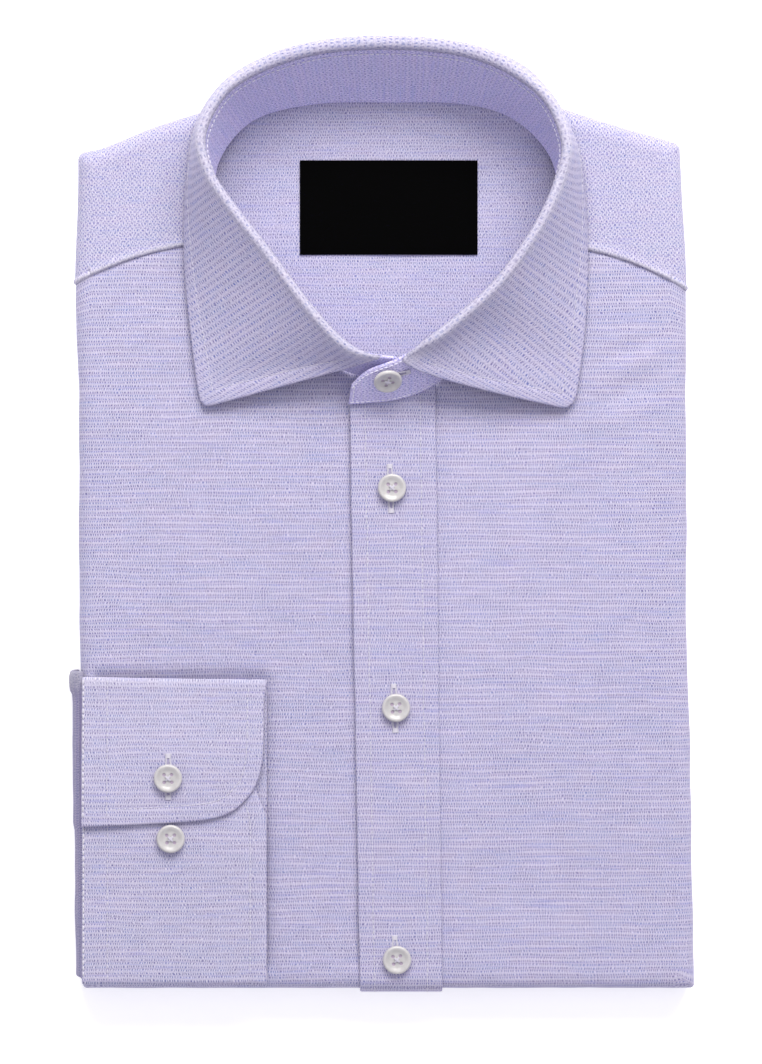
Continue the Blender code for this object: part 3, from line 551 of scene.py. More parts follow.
def labelSatin():  # black woven satin: fine ridges across it, and a soft gleam along them
    material, tree, shader = newMaterial("labelSatin", {"Roughness": 0.8, "Specular IOR Level": 0.02})
    place = add(tree, "Attribute", out=1, attribute_name="cloth")
    along = add(tree, "SeparateXYZ", (place,), out=1)
    ridge = add(tree, "Math", (along, 2 * math.pi / 0.45), operation="MULTIPLY")
    ridge = add(tree, "Math", (ridge,), operation="SINE")
    grain = add(tree, "TexNoise", {"Vector": place, "Scale": 3.0, "Detail": 2.0})
    height = add(tree, "Math", (ridge, 0.4, grain), operation="MULTIPLY_ADD")
    bump = add(tree, "Bump", {"Height": height, "Strength": 0.3, "Distance": 0.05 * mm})
    colour = add(tree, "Mix", {0: grain, 6: "#020202", 7: "#070708"}, out=2, data_type="RGBA")
    tree.links.new(colour, shader.inputs["Base Color"])
    tree.links.new(bump, shader.inputs["Normal"])
    return material


# Cotton canvas, the same on every piece, seen flatter, steeper or in more or less shade.
bodyCanvas = wovenCanvas("bodyCanvas", 1.0, 0.0, "#C9C3E4", "#DDD8F3", "#534A98")
yokeCanvas = wovenCanvas("yokeCanvas", 0.2, 0.5, light="#E6E2F8", dash="#7D75BE")
leafCanvas = wovenCanvas("leafCanvas", 0.62, 0.3, dash="#7C75AE", rows=1, pitch=1.15)
# The band's copy is made lighter (shade 1.4): painted light, as the band stands mostly in shade.
bandCanvas = wovenCanvas("bandCanvas", 0.45, 0.3, "#C8C0EC", "#E2DCF8", "#7A72BC", 1.4, dotPitch=(2.6, 1.7))
cuffCanvas = wovenCanvas("cuffCanvas", 1.0, 0.15, "#C9C3E4", "#E4E0F6", "#463C8E")
# The sleeve's copy is made darker (shade 0.62) and more saturated: painted shade on its side, which turns
# down away from the light.
sleeveCanvas = wovenCanvas("sleeveCanvas", 0.6, 0.0, "#C3BBED", "#D8D1FA", "#746EB0", 0.62)
innerCanvas = wovenCanvas("innerCanvas", 0.6, 0.28, "#D0CAEC", "#E4E0F6", "#5F57A0")
thread = sewingThread("sewingThread")
# The same thread made lighter for the band's stitches: painted light, as they run in the band's shade.
bandThreadPaintedLight = sewingThread("threadPaintedLight", 1.0)
# Polyester resin, cast and turned to look like shell: milky, glossy, faintly clouded.
pearl = clouded("pearlResin", "#C9C7C9", "#EAE8EA", {"Scale": 260.0, "Detail": 3.0, "Distortion": 1.5}, {
    "Roughness": 0.3, "IOR": 1.53, "Subsurface Weight": 0.4, "Subsurface Radius": (0.6, 0.55, 0.5),
    "Subsurface Scale": 0.002, "Coat Weight": 0.3, "Coat Roughness": 0.08,
})
# What is seen down a button's hole: thread and lilac cloth in shade.
fine = {"Scale": 2500.0, "Detail": 1.0}
holeShade = clouded("threadInShade", "#B3A2BC", "#D2C3D8", fine, {"Roughness": 0.9})
# The cut cloth inside a buttonhole, as a sheet coloured darker than the cloth: painted shade in the slit.
slitShade = clouded("slitPaintedShade", "#A7A1CA", "#CBC5E4", {"Scale": 1800.0, "Detail": 2.0}, {"Roughness": 0.95})
satin = labelSatin()
print("materials made")


# Fronts

def edgeStations(x, y, outX=0, outY=0, radius=0, angle=0):
    # Places along the body's edge: the way out of it, and at a corner its radius and the angle round it.
    return stacked(x, y, outX, outY, radius, angle).astype(float)


def foldRings(stations, ends, count=20):
    # The outer face of a fold, ring by ring from the panel round to where the fold ends below.
    reach = foldReach(stations[:, 0], stations[:, 1])
    top = bodyTop(stations[:, 0], stations[:, 1])
    shares = fineTable(stack["fold"], count + 1)
    inward = shares[:, :1] * reach
    below = shares[:, 1:] * (top - stack["wallHalf"] - ends)
    off = unit(stacked(-np.gradient(below, axis=0), np.gradient(inward, axis=0))) * stack["wallHalf"]
    inward, below = inward + off[..., 0], below + off[..., 1]
    x, y, outX, outY, radius, angle = stations.T
    rounding = radius * (1 - 0.7 * np.clip(inward / stack["foldReach"], 0, 1))
    placeX = x - outX * (inward + rounding) + rounding * np.cos(angle)
    placeY = y - outY * (inward + rounding) + rounding * np.sin(angle)
    return stacked(placeX, placeY, top - stack["wallHalf"] - below)[1:]


def outward(stations):  # the level way out from the edge at each station
    ways = stations[:, 2:4].copy()
    corner = stations[:, 4] > 0
    ways[corner] = stacked(np.cos(stations[corner, 5]), np.sin(stations[corner, 5]))
    return ways


front = {
    "inner": 26,  # columns up to the neck, and on to the side
    "outer": 28,
    "rows": 128,
    "seamRows": (0.982, 0.988, 0.9925, 0.996, 1.0),  # shares of its length, of the close lines at the seam
    "onNeck": {left: (0.0, 4.0), right: (17.0, 14.0)},  # rows of the neck's seam that it runs along
    "meet": 8.0,  # x at which the two fronts meet under the placket
    "underYoke": 1.0,
    "underBand": 3.6,  # the right front's reach in under the band's end beneath
    "dip": 0.5,  # just before it runs under the yoke
    "rise": 0.45,  # of the left front beside the placket
    "hollow": {  # along the placket's edge: depth, x at y 45, slant, width
        left: (1.3, -12.6, -0.018, 2.0),
        right: (0.7, 22.3, -0.0125, 1.1),
    },
    "corner": {left: (262, 188), right: (278, 352)},  # degrees round the bottom corner
    "waver": 0.14,
}


def makeFront(name, node, side, seed):
    # Flat on top, folded under at its side and across the bottom; it dips just before it runs under the yoke.
    bottom, reach = stack["bottom"], stack["foldReach"]
    startX = front["meet"] + side
    neckX, foldX = yokeSeam[side][0][0], yokeSeamEnd(side)
    innerX = np.linspace(startX, neckX, front["inner"])[:-1]
    outerX = np.linspace(neckX, foldX, front["outer"])
    edge = neckEdge(np.linspace(*front["onNeck"][side], 80))
    order = np.argsort(edge[:, 0])
    innerY = np.interp(innerX, edge[order, 0], edge[order, 1])
    if side == left:
        innerY = innerY + front["underBand"] * smooth((innerX + 36) / 14)
    topX = np.concatenate([innerX, outerX])
    topY = np.concatenate([innerY, yokeSeamY(side, outerX) + front["underYoke"]])
    share = (topX - startX) / (foldX - startX)
    t = np.concatenate([np.linspace(0, 0.975, front["rows"]), front["seamRows"]])[:, None]
    y = blend(bottom + reach, topY, t)
    x = blend(startX, sideEdge(side, y) - side * reach, share)
    x = blend(x, topX, smooth((y - bottom) / (topY - bottom)) * (1 - share**4))
    toSeam = np.where(share > share[len(innerX)] - 0.02, yokeSeamY(side, x) - y, 50)
    inside = smooth((np.abs(sideEdge(side, y) - x) - reach) / 9)
    z = bodyTop(x, y) + relief(x, y) * inside * smooth((y - y[0]) / 12)
    z = z - front["dip"] * smooth(1 - toSeam / 2.4)
    z = z - pressed(x, y)
    if side == right:
        z = z + front["rise"] * (1 - smooth((x - 24) / 26)) * smooth((y - y[0]) / 6)
    depth, hollowX, slant, width = front["hollow"][side]
    off = x - hollowX - (y - 45) * slant
    z = z - depth * np.exp(-((off / width) ** 2)) * smooth((y - y[0]) / 6)
    piece = Piece()
    grid = piece.add(stacked(x, y, z), stacked(x, y))
    piece.join(grid, flip=side == left)
    turns = np.radians(np.linspace(*front["corner"][side], 6))
    hem = edgeStations(x[0], bottom, 0, -1)[:-1]
    corner = edgeStations(sideEdge(side, bottom), bottom, side, -1, stack["hemRound"], turns)
    stations = np.vstack([hem, corner, edgeStations(sideEdge(side, y[1:, -1]), y[1:, -1], side)])
    higher = smooth((stations[:, 1] - bottom) / stack["cornerBlend"])
    ends = blend(stack["bottomFoldEnd"], stack["sideFoldEnd"], higher)
    border = np.concatenate([grid[0, :-1], np.full(len(turns), grid[0, -1]), grid[1:, -1]])
    rings = foldRings(stations, ends)
    # Near the yoke the fold's points lean with the seam.
    lean = yokeSeamY(side, rings[..., 0]) - yokeSeamY(side, foldX)
    lean = lean * smooth(1 - (topY[-1] - stations[:, 1]) / 30)
    beside, across = stations[:, 2] == side, stations[:, 3] == -1
    rings[..., 1] += np.where(beside, lean, 0) * (stations[:, 4] == 0)
    rings[..., 0] += side * front["waver"] * ripple(rings[..., 1], rings[..., 2], 17, 3.1 + seed) * beside
    rings[..., 1] += -front["waver"] * ripple(rings[..., 0], rings[..., 2], 17, 2.2 + seed) * across
    fromPanel = arcLength(np.concatenate([np.vstack(piece.points)[border][None], rings]), 0)[1:]
    flat = np.vstack(piece.flat)[border] + outward(stations) * fromPanel[..., None]
    piece.join(np.vstack([border[None], piece.add(rings, flat)]), flip=side == right)
    makeCloth(piece, name, node, bodyCanvas, seed, ["folded_layers"], panel=True)


makeFront("rightFront", "right_front", left, 1)
makeFront("leftFront", "left_front", right, 2)
print("fronts made")


# Yoke

yoke = {
    "side": 16,  # lines across it at each side, past the close ones at the seam, and along its top
    "top": 70,
    "across": 20,
    "seamLines": (0, 0.005, 0.011, 0.018, 0.026, 0.035, 0.046, 0.06, 0.08),  # shares of the way up a side
    "onNeck": {left: (4.0, 5.6, 5.75), right: (13.87, 12.35, 12.2)},  # neck rows: seam, shoulder, corner
    "onNeckBehind": (5.85, 12.1),
    "turns": {left: (172, 98), right: (82, 8)},  # degrees round each shoulder's corner
    "ridge": 0.85,  # height of its folded edge over the seam allowances
    "cornerIn": 1.5,  # where a corner starts, in from where the folds start
    "underBand": 1.7,
}


def yokeStations():
    # Lines across the yoke: where each starts at the neck and ends at the edge, its share of the seam's arc.
    (firstX, firstY), (lastX, lastY) = stack["topEdge"][0], stack["topEdge"][-1]

    def sideLine(side, cornerY, share):
        atSeam = float(yokeSeamY(side, yokeSeamEnd(side)))
        y = blend(atSeam, cornerY - stack["foldReach"] - yoke["cornerIn"], share)
        atNeck = neckEdge(blend(*yoke["onNeck"][side][:2], share))
        return (*atNeck, sideEdge(side, y), y, side, 0, 0, 0, (1 - share) ** 2)

    def corner(side, x, y):
        turns = np.radians(np.linspace(*yoke["turns"][side], 6))
        atNeck = neckEdge(yoke["onNeck"][side][2])
        return [(*atNeck, x, y, side, 1, stack["shoulderRound"], turn, 0) for turn in turns]

    shares = np.concatenate([yoke["seamLines"], np.linspace(0.11, 1, yoke["side"])])
    rows = [sideLine(left, firstY, share) for share in shares]
    rows += corner(left, firstX, firstY + 0.6 * stack["shoulderUp"])
    leftX = firstX + stack["foldReach"] + yoke["cornerIn"]
    rightX = lastX - stack["foldReach"] - yoke["cornerIn"]
    for share in np.linspace(0, 1, yoke["top"]):
        x = blend(leftX, rightX, share)
        rows.append((*neckEdge(blend(*yoke["onNeckBehind"], share)), x, topEdge(x), 0, 1, 0, 0, 0))
    rows += corner(right, lastX, lastY + stack["shoulderUp"])
    rows += [sideLine(right, lastY, share) for share in shares[::-1]]
    return np.array(rows, float)


def seamY(side, x):  # yokeSeamY where the side changes from place to place
    return np.where(side == left, yokeSeamY(left, x), yokeSeamY(right, x))


def ridge(x, y, side):  # the yoke's folded edge over the seam allowances
    off = y - seamY(side, x)
    rise = smooth(off / 0.5) * (1 - smooth((off - 1.0) / 1.0))
    pucker = 1 + 0.25 * np.sin(x / 1.1 + 2 * np.sin(x / 5))
    return yoke["ridge"] * (rise * pucker - 0.25 * (1 - smooth(off / 0.6)))


def makeYoke():
    rows = yokeStations()
    stations, seamShare = rows[:, 2:8], rows[:, 8:9]
    edgeX, edgeY, outX, outY, radius, angle = stations.T
    corner = np.where(radius > 0, radius * 0.3, 0)
    inset = foldReach(edgeX, edgeY) + corner
    foldX = edgeX - outX * inset + corner * np.cos(angle)
    foldY = edgeY - outY * inset + corner * np.sin(angle)
    t = np.linspace(0, 1, yoke["across"])
    side = np.where(edgeX < 0, left, right)
    neckLine = rows[:, :2] + unit(rows[:, :2] - np.array(neck["centre"])) * yoke["underBand"]
    x = blend(neckLine[:, :1], foldX[:, None], t)
    y = blend(neckLine[:, 1:], foldY[:, None], t)
    seamX = {way: np.linspace(yokeSeam[way][0][0], yokeSeamEnd(way), len(t)) for way in (left, right)}
    onSeamX = np.where(side[:, None] == left, seamX[left], seamX[right])
    x, y = blend(x, onSeamX, seamShare), blend(y, seamY(side[:, None], onSeamX), seamShare)
    z = bodyTop(x, y) + 0.5 * relief(x, y) * smooth((topEdge(x) - y - 6) / 8) + ridge(x, y, side[:, None])
    piece = Piece()
    grid = piece.add(stacked(x, y, z), stacked(x, y))
    piece.join(grid)
    rings = foldRings(stations, np.full(len(stations), stack["sideFoldEnd"]))
    # Beside the seam the fold's points lean with it, and its folded edge runs on round the fold.
    lean = seamY(side, rings[..., 0]) - seamY(side, np.where(side == left, seamX[left][-1], seamX[right][-1]))
    away = edgeY - np.where(side == left, edgeY[0], edgeY[-1])
    rings[..., 1] += lean * smooth(1 - away / 30) * (outY == 0)
    raised = ridge(rings[..., 0], rings[..., 1], side) * (outY == 0)
    step = np.gradient(rings, axis=0)
    facing = unit(stacked(-step[..., 2], step[..., 0] * outX))
    rings[..., 0] += outX * raised * facing[..., 0] * 0.6
    rings[..., 2] += raised * facing[..., 1]
    border = grid[:, -1]
    whole = np.concatenate([np.vstack(piece.points)[border][None], rings])
    extra = (arcLength(whole, 0) - arcLength(whole[..., :2], 0))[1:]
    flat = rings[..., :2] + outward(stations) * extra[..., None]
    piece.join(np.vstack([border[None], piece.add(rings, flat)]), flip=True)
    points = np.vstack(piece.points)
    seam = seamY(np.where(points[:, 0] < 0, left, right), points[:, 0])
    # A painted highlight along the yoke's folded edge over the seam; the white weft showing at the fold is
    # part of it.
    turned = smooth((1.5 - points[:, 1] + seam) / 0.7)
    makeCloth(piece, "shoulderYoke", "yoke", yokeCanvas, 3, ["folded_layers"], panel=True, opened=turned)


makeYoke()
print("yoke made")


# Folded layers

layers = {
    "profile": [  # in from the edge, height: round each fold of the hidden cloth, from the top one down
        (30.0, 18.6), (12.0, 18.55), (7.4, 18.4), (5.2, 17.7), (3.6, 16.5), (3.0, 15.2), (3.3, 14.0),
        (4.4, 13.2), (5.6, 12.9), (4.3, 12.3), (3.1, 11.2), (2.8, 10.0), (3.3, 9.0), (5.2, 8.5), (4.0, 8.1),
        (2.4, 7.3), (1.8, 6.4), (2.1, 5.5), (3.8, 4.9), (5.6, 4.7), (3.9, 4.4), (2.4, 3.6), (1.8, 2.5),
        (2.0, 1.4), (3.0, 0.5), (4.6, 0.05), (7.0, 0.0),
    ],
    "topRound": 2.6,  # radius of its corners at the shoulders, and at the bottom
    "bottomRound": 3.0,
    "behindBottom": 2.8,  # further in, behind the fold across
    "hemEnd": 96.0,  # y of the tail's hem, folded up under the shirt
    "hemStep": 0.7,
    "middle": (0.0, -10.0),  # of the underside
    "cut": (0.53, 0.40),  # of the cloth it stands for, in metres: twice 250 mm and its edges wide
}


def outlineStations():
    bottom = stack["bottom"]
    (firstX, firstY), (lastX, lastY) = stack["topEdge"][0], stack["topEdge"][-1]

    def side(way, start, end):
        return [(float(sideEdge(way, y)), y, way, 0) for y in np.linspace(start, end, 90)]

    def corner(x, y, radius, start, end):
        turns = [(math.cos(turn), math.sin(turn)) for turn in np.radians(np.linspace(start, end, 5))]
        return [(x + outX * radius, y + outY * radius, outX, outY) for outX, outY in turns]

    leftX, rightX = float(sideEdge(left, bottom)), float(sideEdge(right, bottom))
    high, low = layers["topRound"], layers["bottomRound"]
    rows = side(left, bottom + 4, firstY - 5)
    rows += corner(firstX + high, firstY - high, high, 176, 96)
    rows += [(x, float(topEdge(x)), 0, 1) for x in np.linspace(firstX + 6, lastX - 6, 70)]
    rows += corner(lastX - high, lastY - high, high, 84, 4)
    rows += side(right, firstY - 5, bottom + 4)
    rows += corner(rightX - low, bottom + low, low, -4, -86)
    rows += [(x, bottom, 0, -1) for x in np.linspace(rightX - 7, leftX + 7, 60)]
    rows += corner(leftX + low, bottom + low, low, -94, -176)
    return np.array(rows)


def makeLayers():
    stations = outlineStations()
    x, y, outX, outY = stations.T
    profile = fineTable(layers["profile"], 66)
    top = bodyTop(x, y) - stack["cloth"] - 0.9
    share = np.clip(profile[:, 1:] / layers["profile"][0][1], 0, 1)
    z = share * top
    behind = layers["behindBottom"] * (1 - smooth((y - stack["bottom"]) / stack["cornerBlend"] - 1.4))
    fromNeck = stacked(x, y) - np.array(neck["centre"])
    clear = np.linalg.norm(fromNeck, axis=-1) - neckReach(np.arctan2(fromNeck[:, 1], fromNeck[:, 0])) - 1.5
    inset = np.minimum(profile[:, :1], np.where(y > 150, clear, 99)) + behind
    around = np.concatenate([[0], np.cumsum(np.hypot(np.diff(x), np.diff(y)))])
    inset = inset + 0.5 * ripple(around, z * 9, 60, 4.4) * smooth(z / 1.5) * smooth((top - z) / 2)
    z = z + 0.25 * ripple(around, profile[:, 1:] * 4, 80, 2.9) * smooth(z / 3) * smooth((top - z) / 3)
    points = stacked(x - outX * inset, y - outY * inset, z)
    points[..., 2] -= 1.1 * pressed(points[..., 0], points[..., 1]) * smooth((z - top + 4) / 3)
    piece = Piece()
    fromTop = arcLength(points, 0)
    flat = stacked(x + outX * fromTop, y + outY * fromTop)
    ring = piece.add(points, flat)
    ring = np.column_stack([ring, ring[:, :1]])
    piece.join(ring)
    # The underside: the tail, folded up under everything, its hem across the back of the neck's end.
    last = points[-1]
    middle = np.array(layers["middle"])
    shrink = np.linspace(1, 0.02, 60)[1:, None]
    underX = middle[0] + (last[:, 0] - middle[0]) * shrink
    underY = middle[1] + (last[:, 1] - middle[1]) * shrink
    hem = layers["hemEnd"] + 14 * np.cos(underX / 42)
    step = layers["hemStep"] * smooth((underY - hem) / 0.8 + 0.5)
    rise = (0.12 + 0.1 * ripple(underX, underY, 60, 5.2) + step) * smooth((1 - shrink) * 9)
    under = stacked(underX, underY, np.maximum(rise, 0))
    grid = piece.add(under, stacked(-underX, underY))
    grid = np.vstack([ring[-1][None], np.column_stack([grid, grid[:, :1]])])
    piece.join(grid)
    hub = piece.add(np.array([[[*middle, 0.1]]]), np.array([[middle]]))
    piece.join(np.vstack([grid[-1][None], np.full((1, grid.shape[1]), hub[0, 0])]))
    settings = {"sides": 1, "cut": layers["cut"], "clean": True}
    makeCloth(piece, "foldedLayers", "folded_layers", bodyCanvas, 4, [], **settings)


makeLayers()
print("layers made")


# Threads

def capsules(piece, centres, along, normals, length, width, arch=0.0):
    # Short rounded lengths of thread, each with five sides and four rings.
    centres, along, normals = np.broadcast_arrays(*np.atleast_2d(centres, unit(along), unit(normals)))
    beside = np.cross(along, normals)
    ringAt = np.array([-0.5, -0.3, 0.3, 0.5])
    ringWide = np.array([0.45, 1.0, 1.0, 0.45]) * width / 2
    turns = 2 * math.pi * np.arange(5) / 5
    length = np.broadcast_to(length, (len(centres),))
    middle = centres[:, None] + along[:, None] * (ringAt[:, None] * length[:, None, None])
    middle = middle + normals[:, None] * (arch * (1 - (2 * ringAt) ** 2))[:, None]
    swing = normals[:, None, None] * np.cos(turns)[:, None] + beside[:, None, None] * np.sin(turns)[:, None]
    points = middle[:, :, None] + swing * ringWide[None, :, None, None]
    flat = np.zeros((*points.shape[:-1], 2))
    numbers = piece.add(points, flat)
    for rings in numbers.tolist():
        for low, high in zip(rings[:-1], rings[1:]):
            for j in range(5):
                n = (j + 1) % 5
                piece.faces.append([low[j], low[n], high[n], high[j]])
        piece.faces.append(rings[0][::-1])
        piece.faces.append(rings[-1])


def stitchLine(piece, points, normals, pitch=2.1, length=1.6, width=0.34, lift=0.06):
    # Lockstitches along a line of points on the cloth.
    far = arcLength(points, 0)
    at = np.arange(pitch * 0.6, far[-1] - pitch * 0.4, pitch)
    out = unit(readAlong(normals, far, at))
    ahead = readAlong(points, far, at + 0.5) - readAlong(points, far, at - 0.5)
    jitter = 0.12 * np.sin(at * 12.9898 + 4)
    capsules(piece, readAlong(points, far, at) + out * lift, ahead, out, length + jitter, width, arch=0.08)


def onGrid(grid, row, col):  # bilinear reading of a grid at fractional rows and columns
    row = np.clip(row, 0, grid.shape[0] - 1.001)
    col = np.clip(col, 0, grid.shape[1] - 1.001)
    i, j = row.astype(int), col.astype(int)
    s, t = (row - i)[..., None], (col - j)[..., None]
    low = grid[i, j] * (1 - t) + grid[i, j + 1] * t
    high = grid[i + 1, j] * (1 - t) + grid[i + 1, j + 1] * t
    return low * (1 - s) + high * s


def columnAt(shell, rows, distance, fromEnd=False):  # the fractional column that far along each of those rows
    cols = []
    for r in rows:
        line = shell["cols"][int(round(r))]
        cols.append(np.interp(line[-1] - distance if fromEnd else distance, line, np.arange(len(line))))
    return np.array(cols)


def rowAt(shell, col, distance, fromEnd=False):  # the fractional row that far along that column
    line = shell["rows"][:, int(col)]
    return np.interp(line[-1] - distance if fromEnd else distance, line, np.arange(len(line)))


def stitchOn(piece, shell, rows, cols, face="above", **style):  # a line of stitches on a closed shell's face
    rows, cols = np.broadcast_arrays(np.asarray(rows, float), np.asarray(cols, float))
    way = 1 if face == "above" else -1
    stitchLine(piece, onGrid(shell[face], rows, cols), way * onGrid(shell["normal"], rows, cols), **style)


# Placket

placket = {
    "wide": 33.5,
    "top": (-12.6, 21.8),  # x of its two edges at the collar
    "foot": (-8.4, 24.6),  # and at the fold across
    "lift": 1.6,  # from the middle of the front's wall to its own
    "thick": 1.0,
    "bandRows": 3.05,  # of the collar band, that its top runs along
    "stitchIn": 6.0,
}
collar = {
    "band": [  # seam x, y, top x, y, z, from the end on top round the neck to the end beneath
        (-13, 51.2, -11.8, 58.4, 30.2), (-6, 51.6, -5.4, 64, 35.2), (7, 53.2, 6.8, 68.7, 37.8),
        (20, 58.3, 17.2, 75.2, 39.5), (33, 69.5, 29, 84.2, 41), (50, 89, 45.6, 99.4, 43),
        (64, 111.5, 60.7, 120.7, 44), (70.6, 134, 69.7, 141, 44), (67.5, 151, 70.8, 155.8, 44),
        (53, 165.8, 61, 173.4, 43), (33, 171.8, 37, 186.6, 42), (4, 172.4, 4, 190.6, 42),
        (-26, 171.8, -29.5, 187.6, 42), (-50.5, 165.5, -57.4, 175.6, 43), (-64.5, 149.5, -69, 157.8, 44),
        (-66.6, 132, -67, 143, 44), (-61, 116.5, -58.2, 129, 44), (-50, 102.5, -45.2, 112.5, 43.5),
        (-32, 78, -25.2, 86.2, 41.5), (-16, 62.5, -10.2, 72.4, 38.5), (4.5, 57.4, 6.2, 69.2, 35.2),
    ],
    "onPlacket": 3.0,  # the rows up to this one stand on the placket
    "seat": 22.4,
    "bandThick": 1.5,
    "leafThick": 1.4,
    "gap": 1.2,  # from the band's top edge to the leaf's seam
    "roll": [(0, 0), (0, 0.9), (0.45, 2.0), (1.4, 2.5), (2.35, 2.0), (2.8, 0.7)],  # outward, up
    "leaf": [  # band row, middle x, y, z, edge x, y, z
        (2.3, 20, 62, 34.8, 75.6, 48.8, 22.3), (3, 36, 68.5, 33, 78, 55, 22.3),
        (4, 47, 77, 32.4, 79.4, 64, 22.3), (5, 60.5, 91, 34, 81.3, 81, 22.2),
        (6, 71, 113, 34.5, 82.2, 103, 22), (7, 76.6, 134, 35, 81.6, 126, 22),
        (8, 77, 152, 34, 79.4, 146, 21.8), (8.5, 71.6, 166.1, 33.5, 75.4, 160.5, 21.4),
        (9, 65.2, 176.0, 32, 68.6, 174.3, 15), (9.5, 55.9, 185.2, 29, 58, 184.2, 8),
        (10, 39.8, 191.7, 27, 41, 190.8, 5), (11, 4, 195.3, 27, 4, 194.4, 4),
        (12, -31.8, 192.6, 27, -33, 191.6, 5), (12.5, -49, 186.8, 29, -51, 185.8, 8),
        (13, -62.2, 178.2, 32, -65.5, 176, 14),
        (13.5, -69.2, 168.3, 33.5, -72.4, 165.4, 20.6), (14, -73.8, 156.8, 33.5, -75.8, 152, 21.7),
        (15, -74.2, 138.5, 34, -77.8, 131, 22), (16, -69, 121, 35, -78.2, 111, 22.2),
        (17, -60.5, 101.5, 34, -76.8, 88, 22.3), (18, -47, 77, 31.7, -74.4, 66, 22.3),
        (19, -36, 66.5, 30, -73, 56, 22.3), (19.55, -19.5, 63.2, 31.5, -71.4, 49.4, 22.3),
    ],
    "bandSteps": ((430, 1.6), (19, 1.2)),  # length and step of points, round it and up it
    "leafSteps": ((470, 1.7), (34, 1.5)),
    "rolled": (9, 40),  # parts of the leaf's fall that the roll takes
    "bulge": 0.7,
    "margin": 6.0,  # from the leaf's edge to its topstitching
}


def bandPoint(at, upShare):
    seamX, seamY, topX, topY, topZ = np.moveaxis(curveThrough(collar["band"], at), -1, 0)
    seated = 1 - smooth((at - collar["onPlacket"]) / 0.7)
    seamY = seamY + 3.2 * smooth((at - 17.6) / 1.4)  # the end beneath stands steeper
    low = stacked(seamX, seamY, blend(bodyTop(seamX, seamY) + 0.8, collar["seat"], seated))
    high = stacked(topX, topY, topZ)
    return low + (high - low) * upShare[..., None]


def bandOut(at):
    one = np.ones_like(at)
    along = bandPoint(at + 0.05, one) - bandPoint(at - 0.05, one)
    return unit(stacked(along[..., 1], -along[..., 0], 0 * at))


def makePlacket():
    wide, stitchIn = placket["wide"], placket["stitchIn"]
    t = spaced(wide, 1.5)[:, None]
    topX, footX = blend(*placket["top"], t), blend(*placket["foot"], t)
    topY = curveThrough(collar["band"], placket["bandRows"] * t[:, 0])[:, 1:2] + 0.7
    bottom, reach = stack["bottom"], stack["bottomReach"]
    length = topY - (bottom + reach)
    down = np.concatenate([[0, *edgeSteps], np.linspace(2.5, float(length.mean()), 110)])
    y = topY - down / down[-1] * length
    x = blend(footX, topX, (y - bottom) / (topY - bottom))
    x = x + np.where(t < 0.5, 1, -1) * 0.18 * ripple(y, 0 * x, 22, 1.9)
    inEdge = np.minimum(t, 1 - t) * wide
    height = stack["height"] - stack["wallHalf"]
    z = height + placket["lift"] + 0.6 * relief(x, y) * smooth((y - y[:, -1:]) / 8)
    z = z - groove(inEdge, stitchIn) + 0.1 * smooth(inEdge / 4)
    shares = fineTable(stack["fold"], 26)
    inward, below = shares[:, 0] * reach, shares[:, 1] * (height - stack["bottomFoldEnd"])
    off = unit(stacked(-np.gradient(below), np.gradient(inward))) * placket["lift"]
    inward, below = (inward + off[:, 0])[2:], (below + off[:, 1])[2:]
    middle = np.concatenate([stacked(x, y, z), stacked(footX, bottom + inward, height - below)], axis=1)
    piece, shell = closedShell(middle, stacked(middle[..., 0], topY - arcLength(middle, 1)), placket["thick"])
    makeCloth(piece, "frontPlacket", "placket", bodyCanvas, 5, ["leftFront", "rightFront"])
    lines = Piece()
    for share in (stitchIn / wide, 1 - stitchIn / wide):
        row = np.interp(share, t[:, 0], np.arange(len(t)))
        stitchOn(lines, shell, row, np.arange(3, middle.shape[1] - 3))
    lines.make("placketStitches", thread, 0)


makePlacket()
print("placket made")


# Collar

def makeBand():
    around, upward = collar["bandSteps"]
    at = spaced(*around)[:, None] * (len(collar["band"]) - 1)
    upShare = spaced(*upward)
    middle = bandPoint(at + 0 * upShare, upShare + 0 * at)
    bulge = bandOut(at + 0 * upShare) * (collar["bulge"] * np.sin(upShare * math.pi))[None, :, None]
    middle = middle + bulge * smooth(at / 2)[..., None]
    flat = stacked(arcLength(middle, 1), arcLength(middle, 0)[:, 8:9])
    piece, shell = closedShell(middle, flat, collar["bandThick"])
    makeCloth(piece, "collarBand", "collar_band", bandCanvas, 6, ["shoulderYoke", "frontPlacket"])
    # Stitched along the top of its inside, and round its end on top, which shows its outside.
    lines = Piece()
    rows = np.arange(8, len(at) - 8)
    stitchOn(lines, shell, rows, columnAt(shell, rows, 2.3, True), width=0.55, lift=0.28)
    rows = np.arange(3, int(len(at) * 0.17))
    for distance, fromEnd in ((1.5, False), (1.6, True)):
        stitchOn(lines, shell, rows, columnAt(shell, rows, distance, fromEnd), face="below", width=0.45)
    cols = np.linspace(columnAt(shell, [3], 1.5)[0], columnAt(shell, [3], 1.6, True)[0], 12)
    stitchOn(lines, shell, rowAt(shell, 6, 1.5), cols, face="below", width=0.45)
    lines.make("bandStitches", bandThreadPaintedLight, 0)


